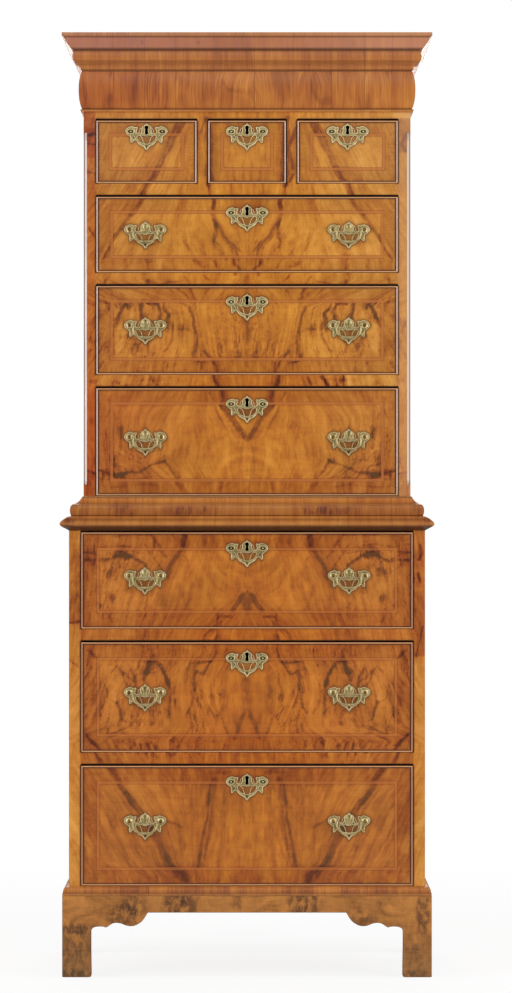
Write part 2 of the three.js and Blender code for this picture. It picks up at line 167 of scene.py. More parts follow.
def gather(parts):
    # several (points, faces) as one, each face group's indices moved on
    points, groups, total = [], {}, 0
    for some, faces in parts:
        for group in map(np.atleast_2d, faces):
            groups.setdefault(group.shape[1], []).append(group + total)
        points.append(some)
        total += len(some)
    return np.concatenate(points), [np.concatenate(group) for group in groups.values()]


def solidBetween(front, back):
    # a closed solid between two outlines with the same number of points
    count = len(front)
    index = np.arange(count)
    walls = joined(index, np.roll(index, -1), count + np.roll(index, -1), count + index)
    return np.concatenate([front, back]), [index[None], count + index[None, ::-1], walls]


def turnOutwards(made):
    # the normals of a closed mesh, recalculated
    mesh = bmesh.new()
    mesh.from_mesh(made.data)
    bmesh.ops.recalc_face_normals(mesh, faces=mesh.faces)
    mesh.to_mesh(made.data)
    mesh.free()
    return made


def softenEdges(made, width, material, angle=35):
    # rounds the sharp edges, the rounding in the material of this number
    bevel = made.modifiers.new('edges', 'BEVEL')
    bevel.width, bevel.segments, bevel.material = width / 1000, 2, material
    bevel.limit_method, bevel.angle_limit = 'ANGLE', math.radians(angle)
    bevel.use_clamp_overlap, bevel.harden_normals = True, False
    return made


class Wire:
    # A socket of a material's tree. Arithmetic on it adds Math nodes.
    def __init__(self, tree, socket=None):
        self.tree, self.socket = tree, socket

    def node(self, kind, settings=None, inputs=None, output=0):
        made = self.tree.nodes.new('ShaderNode' + kind)
        for key, value in (settings or {}).items():
            if key == 'stops':
                elements = made.color_ramp.elements
                elements[0].position, elements[0].color = value[0]
                elements[1].position, elements[1].color = value[-1]
                for place, tint in value[1:-1]:
                    elements.new(place).color = tint
            else:
                setattr(made, key, value)
        for key, value in (inputs or {}).items():
            if isinstance(value, Wire):
                self.tree.links.new(value.socket, made.inputs[key])
            else:
                made.inputs[key].default_value = value
        return Wire(self.tree, made.outputs[output]) if len(made.outputs) else None

    def math(self, operation, *others):
        # this value comes first
        return self.node('Math', {'operation': operation}, dict(enumerate((self, *others))))

    def __add__(self, other):
        return self.math('ADD', other)

    def __sub__(self, other):
        return self.math('SUBTRACT', other)

    def __rsub__(self, other):
        return self.node('Math', {'operation': 'SUBTRACT'}, {0: other, 1: self})

    def __mul__(self, other):
        return self.math('MULTIPLY', other)

    def __truediv__(self, other):
        return self.math('DIVIDE', other)

    __radd__, __rmul__ = __add__, __mul__

    def attribute(self, label, output='Vector'):
        return self.node('Attribute', {'attribute_name': label}, output=output)

    def place(self):
        # object coordinates in millimetres
        here = self.node('TexCoord', output='Object')
        return here.node('VectorMath', {'operation': 'SCALE'}, {0: here, 'Scale': 1000.0})

    def parts(self):
        return [self.node('SeparateXYZ', inputs={0: self}, output=axis) for axis in range(3)]

    def times(self, *factors):
        return self.node('VectorMath', {'operation': 'MULTIPLY'}, {0: self, 1: factors})

    def plus(self, other):
        return self.node('VectorMath', {'operation': 'ADD'}, {0: self, 1: other})

    def noise(self, *factors, detail=2.0, rough=0.5, twist=0.0):
        # noise with one grain per 1/factor millimetres each way, 0 to 1
        inputs = {'Vector': self.times(*factors), 'Scale': 1.0, 'Detail': detail,
                  'Roughness': rough, 'Distortion': twist}
        return self.node('TexNoise', inputs=inputs)

    def ease(self, low, high):
        settings = {'interpolation_type': 'SMOOTHSTEP'}
        return self.node('MapRange', settings, {'Value': self, 'From Min': low, 'From Max': high})

    def ramp(self, *stops):
        return self.node('ValToRGB', {'stops': stops}, {0: self})

    def mix(self, factor, other, mode='MIX'):
        # this colour turned towards another one by the factor
        settings = {'data_type': 'RGBA', 'blend_type': mode}
        return self.node('Mix', settings, {0: factor, 6: self, 7: other}, output=2)

    def band(self, low, high, soft):
        # 1 between low and high, 0 elsewhere
        return self.ease(low - soft, low + soft) * (1 - self.ease(high - soft, high + soft))


def newMaterial(name):
    # an empty material and the wire that its nodes start from
    material = bpy.data.materials.new(name)
    material.use_nodes = True
    material.node_tree.nodes.clear()
    return material, Wire(material.node_tree)


def surface(wire, tint, rough, height=None, bump=0.2, **fixed):
    # a Principled surface with its varying colour, roughness and relief, and its fixed settings
    inputs = {'Base Color': tint, 'Roughness': rough}
    inputs.update({key.replace('_', ' '): value for key, value in fixed.items()})
    if height is not None:
        relief = {'Height': height, 'Strength': bump, 'Distance': 0.001}
        inputs['Normal'] = wire.node('Bump', inputs=relief)
    shader = wire.node('BsdfPrincipled', inputs=inputs)
    shader.node('OutputMaterial', inputs={'Surface': shader})


# walnut from palest to darkest, and what its veneers are turned towards
walnutTones = dict(
    pale=colour(224, 160, 76), light=colour(204, 135, 52), middle=colour(181, 108, 38),
    brown=colour(134, 66, 24), dark=colour(66, 26, 10), red=colour(226, 166, 150),
    olive=colour(205, 196, 150), golden=colour(255, 246, 196),
)


def walnutRamp(tone):
    stops = zip((0.0, 0.25, 0.45, 0.7, 1.0), ('pale', 'light', 'middle', 'brown', 'dark'))
    return tone.ramp(*[(place, walnutTones[label]) for place, label in stops])


def bandedTint(wire, tint, here, band):
    # bead, quirk, cross banding and feather banding, all by the distance to the nearest edge
    x, z = here.parts()[::2]
    acrossX, acrossZ = wire.attribute('edges').parts()[:2]
    edge = acrossX.math('MINIMUM', acrossZ)
    upright = acrossZ.math('GREATER_THAN', acrossX)
    along = upright * z + (1 - upright) * x
    bead, quirk, start = band['bead'], band['quirk'], band['inset']
    end = start + band['feather']
    middle = (start + end) / 2
    # the grain of the cross band runs out to the edge
    crossed = here.node('CombineXYZ', inputs={0: along * 0.9 + edge * 0.06, 1: edge * 0.05, 2: 0.0})
    crossTone = crossed.noise(1, 1, 1, detail=3.0)
    inBand = edge.band(quirk, start, 0.35)
    tint = tint.mix(inBand * (crossTone.ease(0.35, 0.8) * 0.42 + 0.13), walnutTones['brown'])
    # two rows of slanting barbs with a line between them and one on either side
    lean = (edge - middle).math('ABSOLUTE')
    barbs = ((along + lean) * (2 * math.pi / band['barb'])).math('SINE')
    vane = (barbs * 0.5 + 0.5).ramp((0.0, colour(158, 84, 38)), (1.0, colour(214, 134, 66)))
    tint = tint.mix(edge.band(start, end, 0.25) * band['vane'], vane)
    lines = edge.band(start - 0.6, start + 0.3, 0.3) + edge.band(end - 0.3, end + 0.6, 0.3)
    spine = edge.band(middle - 0.35, middle + 0.35, 0.25)
    tint = tint.mix(lines * 0.72 + spine * 0.25, colour(104, 50, 26))
    # painted shade on the face beside the groove, stronger on the upright sides
    grime = 1 - edge.ease(quirk, quirk + 5.0)
    tint = tint.mix(grime * (0.4 + upright * 0.25), colour(74, 40, 28))
    # a brown bead with a painted highlight along its top, in a groove of painted shade
    tint = tint.mix(1 - edge.ease(bead - 0.1, bead + 0.1), colour(120, 66, 40))
    litBead = edge.band(0.6 + upright * 0.25, bead - 0.6 - upright * 0.25, 0.55)
    beadHighlightTint = upright.ramp((0, colour(240, 182, 128)), (1, band['beadHighlightTint']))
    tint = tint.mix(litBead * (0.7 + upright * 0.3), beadHighlightTint)
    grooveShade = edge.band(bead - 0.1, quirk + 0.4 + upright * 0.4, 0.25)
    tint = tint.mix(grooveShade * (0.95 - upright * 0.12), colour(44, 22, 18))
    return tint.mix(edge.ease(end + 0.6, end + 6) * 0.1, walnutTones['pale'])


veneerFinish = dict(rough=0.36, grainBump=0.12, fineGrain=0.34, pores=0.2)


def makeVeneer(name, band=None):
    # Figured veneer: tone, warmth, dirt with painted shade, and liveliness come with the mesh, the fine grain
    # from noise
    material, wire = newMaterial(name)
    tone, warm, dirtShade = wire.attribute('veneer').parts()
    grain = wire.attribute('grain')
    fine = grain.noise(0.7, 0.03, 1, detail=3.0)
    hair = grain.noise(2.6, 0.09, 1, detail=1.0)
    # short dark strokes, thin curly lines and cross ripple, all stronger in the burrs
    lively = tone.ease(0.2, 0.56) * (wire.attribute('figure').parts()[0] * 0.85 + 0.15)
    strokes = grain.noise(0.2, 0.045, 1, detail=4.0, rough=0.7, twist=0.5)
    curl = grain.noise(0.07, 0.028, 1, detail=3.0, rough=0.6, twist=0.8)
    thin = 1 - (curl - 0.5).math('ABSOLUTE').ease(0.0, 0.035)
    ripple = grain.noise(0.012, 0.2, 1, rough=0.6)
    tone = tone + (fine - 0.5) * veneerFinish['fineGrain'] + (hair - 0.5) * veneerFinish['pores']
    tone = tone + (strokes.ease(0.5, 0.72) - 0.2) * (lively * 0.28 + 0.07) + thin * (lively * 0.26 + 0.03)
    tone = tone + (ripple - 0.5) * 0.2
    tint = walnutRamp(tone)
    # the third value darkens with dirt and painted shade round the plates, and with painted shade beside and
    # above the drawers' openings
    tint = tint.mix(warm, walnutTones['red'], 'MULTIPLY').mix(dirtShade * 0.8, colour(54, 34, 18))
    clouds = grain.noise(0.012, 0.014, 0.002)
    tint = tint.mix(clouds.ease(0.42, 0.7) * 0.4, walnutTones['olive'], 'MULTIPLY')
    here = wire.place()
    x, z = here.parts()[::2]
    # thin haze of old polish on the short drawers and on the upper right stile
    tint = tint.mix(z.ease(1560, 1620) * 0.03, colour(196, 188, 170))
    tint = tint.mix(x.ease(288, 316) * z.ease(955, 965) * 0.3, colour(220, 172, 124))
    tint = tint.mix(1 - x.math('ABSOLUTE').ease(60, 260), walnutTones['golden'], 'MULTIPLY')
    # below zero the dirt and shade value is an old patch of paler wood
    tint = tint.mix(0 - dirtShade, colour(228, 190, 168))
    if band:
        tint = bandedTint(wire, tint, here, band)
    rough = veneerFinish['rough'] + (fine - 0.5) * 0.12
    surface(wire, tint, rough, fine * 0.4 + hair, veneerFinish['grainBump'],
            Specular_IOR_Level=0.3, Coat_Weight=0.2, Coat_Roughness=0.14)
    return material


# banding of the drawers, in millimetres from the edges, and the tint of the painted highlight on its bead
bandSizes = dict(bead=3.2, quirk=3.9, feather=5.6, barb=3.4, vane=0.72)
frontBands = dict(
    upper=dict(bandSizes, finish='long', inset=28.0, beadHighlightTint=colour(248, 218, 206)),
    lower=dict(bandSizes, finish='lower', inset=31.0, vane=0.5, beadHighlightTint=colour(206, 146, 112)),
    short=dict(bandSizes, finish='short', inset=25.5, beadHighlightTint=colour(240, 206, 190)),
)
frontVeneers = {label: makeVeneer(f'walnut_veneer_{band["finish"]}', band)
                for label, band in frontBands.items()}
caseVeneer = makeVeneer('walnut_veneer_case')

sideFinish = dict(rough=0.38, wave=26.0, bump=0.1, cant=7.0)


def makeSideVeneer(name):
    # upright walnut for the sides: long bands and fine lines along the height
    material, wire = newMaterial(name)
    here = wire.place()
    wander = here.noise(0.004, 0.006, 0.003) * sideFinish['wave'] * 2
    moved = here.plus(here.node('CombineXYZ', inputs={0: 0.0, 1: wander, 2: 0.0}))
    broad = moved.noise(0.01, 0.016, 0.0011)
    fine = moved.noise(0.3, 0.45, 0.006, detail=4.0, rough=0.6)
    hair = moved.noise(1.5, 2.0, 0.03, detail=1.0)
    pores = moved.noise(0.9, 0.9, 0.035, detail=0.0).ease(0.6, 0.74)
    # growth lines: contours of a slow noise, which run up the board and close in tall arches
    arch = moved.noise(0.003, 0.0055, 0.0009, detail=1.0, rough=0.4)
    growth = (arch * 170.0 + fine * 2.4).math('SINE')
    tone = (broad - 0.5) * 0.7 + growth * 0.075 + (fine - 0.5) * 0.55 + (hair - 0.5) * 0.2 + pores * 0.1 + 0.4
    tint = walnutRamp(tone).mix(0.35, walnutTones['red'], 'MULTIPLY')
    # the canted corners get a pale painted highlight of the side lamps, greyer on the right, with lines of
    # painted shade along both edges and, on the right, down the middle
    low, high = corners('upper_side_right')
    x, y, z = here.parts()
    outside, outerX = x.math('ABSOLUTE'), high[0]
    innerX, cantEnd = outerX - sideFinish['cant'], outerX - sideFinish['cant'] - low[1]
    onCant = (outside - y).ease(cantEnd - 0.9, cantEnd - 0.4) * z.ease(940, 950)
    cantHighlightShare = outside.band(innerX + 0.5, outerX - 2.5, 0.5) * onCant
    pale = fine.ramp((0.2, colour(180, 150, 138)), (0.7, colour(226, 204, 194)))
    onRight = x.ease(-1, 1)
    pale = pale.mix(onRight * 0.6, colour(216, 188, 156))
    fluteShadeLine = outside.band(innerX + 2.2, innerX + 3.2, 0.5) * onRight * 0.6
    pale = pale.mix(fluteShadeLine, colour(104, 90, 78))
    tint = tint.mix(onCant * 0.9, colour(96, 72, 74)).mix(cantHighlightShare, pale)
    rough = sideFinish['rough'] + (fine - 0.5) * 0.14
    surface(wire, tint, rough, fine * 0.4 + hair, sideFinish['bump'],
            Specular_IOR_Level=0.4, Coat_Weight=0.1, Coat_Roughness=0.25)
    return material


sideVeneer = makeSideVeneer('walnut_veneer_side')

mouldingFinish = dict(rough=0.36, bump=0.14)


def makeCrossWalnut(name, base, shadeLines=()):
    # Cross-grained moulding in short lengths: run is (along, up the profile, number of the length)
    material, wire = newMaterial(name)
    run = wire.attribute('run')
    fromStart, fromEnd, chance = wire.attribute('sheet').parts()
    along, around, number = run.parts()
    slow = run.noise(0.011, 0.006, 7, detail=1.5, rough=0.45, twist=0.3)
    if 'bow' in base:
        # lines of the grain bent into shallow bows round the middle of the frieze
        middle, bend = base['bow']
        bowed = along + (around - middle) * (around - middle) * (slow - 0.5) * bend
        run = wire.node('CombineXYZ', inputs={0: bowed, 1: around, 2: number})
    lines = run.noise(0.32, 0.012, 7, detail=4.0, rough=0.62)
    broad = run.noise(0.055, 0.01, 7)
    hair = run.noise(1.7, 0.05, 7, detail=1.0)
    tone = (lines - 0.5) * 0.62 + (broad - 0.5) * 0.5 + (hair - 0.5) * 0.12 + (chance - 0.5) * base['spread']
    tone = tone + base['tone']
    if 'wave' in base:
        # broad wavy bands, like the contour lines of a slow noise
        bands = (slow * 30.0 + lines * 3.0).math('SINE')
        tone = tone + (bands.ease(0.1, 1.0) * 0.09 - 0.03 + (slow - 0.5) * 0.4) * base['wave']
        tone = tone + (run.noise(0.9, 0.008, 7, detail=1.0) - 0.5) * 0.3
    x, y, height = wire.place().parts()
    # marks on the front, each (middle, half width, bottom, top, darkness)
    mottle = run.noise(0.13, 0.04, 7, detail=4.0, rough=0.6, twist=0.3)
    marks = [(mark, 0.5, 5, mottle.ease(0.36, 0.68) * 0.7 + 0.25) for mark in base.get('patches', ())]
    marks += [(mark, 0.7, 14, broad.ease(0.3, 0.6) * 0.8 + 0.3) for mark in base.get('clouds', ())]
    for (middle, half, low, high, dark), softX, softZ, strength in marks:
        inside = x.band(middle - half, middle + half, half * softX) * height.band(low, high, softZ)
        tone = tone + inside * (1 - y.ease(-190, -170)) * strength * dark
    redder = base['warm'] + (1 - x.ease(-330, -60)) * base.get('redLeft', 0.0)
    tint = walnutRamp(tone).mix(redder, walnutTones['red'], 'MULTIPLY')
    if 'dust' in base:
        dusty = height.ease(1850, 1856) * (0.75 + (0 - x).ease(-100, 300) * 0.7)
        tint = tint.mix(dusty * 0.5, colour(214, 196, 206), 'MULTIPLY')
        tint = tint.mix(dusty * base['dust'] * (lines.ease(0.25, 0.75) * 0.6 + 0.4), colour(200, 140, 130))
        tint = tint.mix(height.ease(1850, 1856) * x.ease(0, 300) * 0.22, colour(236, 176, 140))
    tint = tint.mix(base['haze'], colour(170, 150, 134))
    # painted shade in the hollows of the profile and a painted highlight on its rounded parts
    hollow, proud = wire.attribute('relief').parts()[:2]
    tint = tint.mix(hollow * (0.45 + lines * 0.25), colour(52, 26, 16))
    tint = tint.mix(proud * lines.ease(0.3, 0.7) * 0.4, walnutTones['pale'])
    # painted shade lines along the profile, under the members
    for middle, half, strength in shadeLines:
        tint = tint.mix(height.band(middle - half, middle + half, half * 0.7) * strength, colour(56, 30, 18))
    joint = 1 - fromStart.math('MINIMUM', fromEnd).ease(0.15, 0.7)
    tint = tint.mix(joint * base['seam'], colour(64, 30, 18))
    rough = mouldingFinish['rough'] + (lines - 0.5) * 0.12
    surface(wire, tint, rough, lines * 0.5 + hair - joint, mouldingFinish['bump'],
            Specular_IOR_Level=0.22, Coat_Weight=0.07, Coat_Roughness=0.2)
    return material


# each line of painted shade under a member: height, half its width, strength
corniceWalnut = makeCrossWalnut('walnut_cornice', dict(
    tone=0.4, spread=0.12, warm=0.3, dust=0.33, seam=0.35, haze=0.11,
    patches=[(-210, 3, 1864, 1872, 0.5), (-97, 3, 1864, 1872, 0.35), (215, 5, 1862, 1872, 0.3)]), [
    (1878.5, 1.8, 0.5), (1855.5, 2.6, 0.6), (1833, 1.5, 0.3), (1829.5, 1.6, 0.35), (1815, 2.4, 0.5),
    (1736.5, 1.8, 0.3)])
friezeWalnut = makeCrossWalnut('walnut_frieze', dict(
    tone=0.38, spread=0.1, warm=0.32, redLeft=0.3, wave=1.2, seam=0.6, haze=0.07, bow=(50.0, 0.03),
    clouds=[(-235, 46, 1744, 1806, 0.11), (-150, 20, 1750, 1800, 0.06), (-30, 30, 1748, 1790, 0.1),
            (130, 26, 1744, 1800, 0.08)]))
waistWalnut = makeCrossWalnut('walnut_waist', dict(
    tone=0.38, spread=0.14, warm=0.24, seam=0.5, haze=0.07,
    patches=[(-116, 56, 923, 942, 0.46), (155, 54, 923, 942, 0.46), (-250, 30, 920, 945, 0.3),
             (-345, 30, 895, 955, 0.3), (350, 16, 895, 955, 0.25)]), [
    (959, 2.2, 0.5), (945, 4, 0.24), (932, 11, 0.18), (914, 2.2, 0.4), (909, 6, 0.12), (896, 6, 0.9)])
baseWalnut = makeCrossWalnut('walnut_base', dict(
    tone=0.56, spread=0.2, warm=0.0, seam=0.6, haze=0.07), [
    (185, 2.0, 0.6), (167.5, 1.8, 0.45)])


def makePlainWood(name, tones, axis, rough, shadedFront=False):
    # Straight-grained board of oak or pine: growth lines along one axis, flecks and worn patches
    material, wire = newMaterial(name)
    here = wire.place() if axis is not None else wire.attribute('plank')
    along = [0.006 if i == (axis or 0) else 0.11 for i in range(3)]
    fine = [0.03 if i == (axis or 0) else 0.9 for i in range(3)]
    rings = here.noise(*along, detail=3.0, rough=0.6, twist=0.4)
    lines = here.noise(*fine)
    flecks = here.noise(*[factor * 2.2 for factor in fine], detail=0.0)
    grime = here.noise(0.009, 0.009, 0.009, detail=3.0)
    plank = here.noise(0.0004, 0.0014, 0.0014, detail=0.0)
    tone = (rings - 0.5) * 1.1 + (lines - 0.5) * 0.55 + (plank - 0.5) * 0.9 + 0.5
    tint = tone.ramp((0.0, tones['pale']), (0.5, tones['middle']), (1.0, tones['dark']))
    tint = tint.mix(flecks.ease(0.62, 0.72) * 0.3, tones['dark'])
    tint = tint.mix(grime.ease(0.5, 0.75) * 0.35, tones['grime'])
    if shadedFront:
        # boards between drawers are painted black near the front, the shade in the gaps over the drawers,
        # with dirt
        depth = here.parts()[1]
        tint = tint.mix((1 - depth.ease(-196, -165)) * 0.95, colour(36, 22, 14))
    surface(wire, tint, rough + (lines - 0.5) * 0.1, lines + rings * 0.3, 0.25, Specular_IOR_Level=0.3)
    return material


oakTones = dict(pale=colour(202, 168, 116), middle=colour(178, 142, 92), dark=colour(132, 98, 58),
                grime=colour(104, 76, 46))
pineTones = dict(pale=colour(196, 152, 96), middle=colour(166, 120, 70), dark=colour(118, 80, 44),
                 grime=colour(84, 58, 36))
oakBoard = makePlainWood('oak_lining', oakTones, None, 0.6)
pineBoard = makePlainWood('pine_board', pineTones, None, 0.72)
oakAcross = makePlainWood('oak_across', oakTones, 0, 0.6)
pineAcross = makePlainWood('pine_across', pineTones, 0, 0.72)
oakDeep = makePlainWood('oak_deep', oakTones, 1, 0.6)
oakEnd = makePlainWood('oak_end_grain', dict(pale=colour(150, 114, 70), middle=colour(122, 88, 52),
                                             dark=colour(86, 60, 34), grime=colour(74, 52, 32)), 1, 0.75)
oakFrontEdge = makePlainWood('oak_divider', oakTones, 0, 0.6, shadedFront=True)

brassFinish = dict(rough=0.34, bump=0.3)


def makeBrass(name):
    # Old lacquered brass: greenish gold, darker and duller in patches, fine scratches
    material, wire = newMaterial(name)
    here = wire.place()
    patch = here.noise(0.09, 0.09, 0.09, detail=4.0)
    speck = here.noise(0.9, 0.9, 0.9, detail=3.0, rough=0.7)
    shineAndShade = wire.attribute('polish').parts()[0]
    dull = patch.ramp((0.3, colour(172, 152, 92)), (0.55, colour(136, 118, 66)), (0.75, colour(86, 72, 40)))
    bright = patch.ramp(
        (0.3, colour(250, 236, 198)), (0.6, colour(236, 218, 166)), (0.8, colour(200, 180, 122)))
    # below zero the polish is black: dark in the dome's flutes, and painted shade on the posts' necks and
    # ends and in the keyhole plate's shallow ovals
    tint = dull.mix(shineAndShade, bright).mix(0 - shineAndShade, colour(50, 42, 22))
    tint = tint.mix(speck.ease(0.56, 0.72) * (0.6 - shineAndShade * 0.25), colour(84, 74, 44))
    rough = brassFinish['rough'] + patch * 0.16 + speck * 0.1
    surface(wire, tint, rough, speck, brassFinish['bump'], Metallic=1.0)
    return material


def makeShadedEdge(name):
    # painted dark as the shade in the gaps and on rounded edges, with dirt, but plain brown wood on the edges
    # of the fronts behind their faces
    material, wire = newMaterial(name)
    here = wire.place()
    grain = here.noise(0.012, 0.3, 0.3, detail=4.0)
    y, height = here.parts()[1:]
    depth = y + 198 + (1 - height.ease(900, 906)) * 28
    behindFace = depth.ease(2.5, 6) * (1 - y.ease(-160, -150))
    tint = grain.ramp((0.2, colour(40, 24, 16)), (0.8, colour(74, 46, 28)))
    plain = grain.ramp((0.3, colour(132, 88, 52)), (0.7, colour(84, 52, 30)))
    surface(wire, tint.mix(behindFace * 0.9, plain), 0.7, grain, 0.2)
    return material


def makeIron(name):
    material, wire = newMaterial(name)
    speck = wire.place().noise(0.4, 0.4, 0.4, detail=3.0)
    tint = speck.ramp((0.3, colour(58, 46, 38)), (0.7, colour(92, 74, 58)))
    surface(wire, tint, 0.6, speck, 0.3, Metallic=0.7)
    return material


def makeKeyholeShade(name):
    # near black painted shade, for what shows through a keyhole
    material, wire = newMaterial(name)
    tint = wire.place().noise(0.3, 0.3, 0.3).ramp((0.0, colour(14, 10, 8)), (1.0, colour(20, 13, 9)))
    surface(wire, tint, 0.9, Specular_IOR_Level=0.05)
    return material


brass = makeBrass('old_brass')
edgeWood = makeShadedEdge('shaded_edge')
iron = makeIron('nail_iron')
keyholeShade = makeKeyholeShade('keyhole_shade')
print('materials ready')


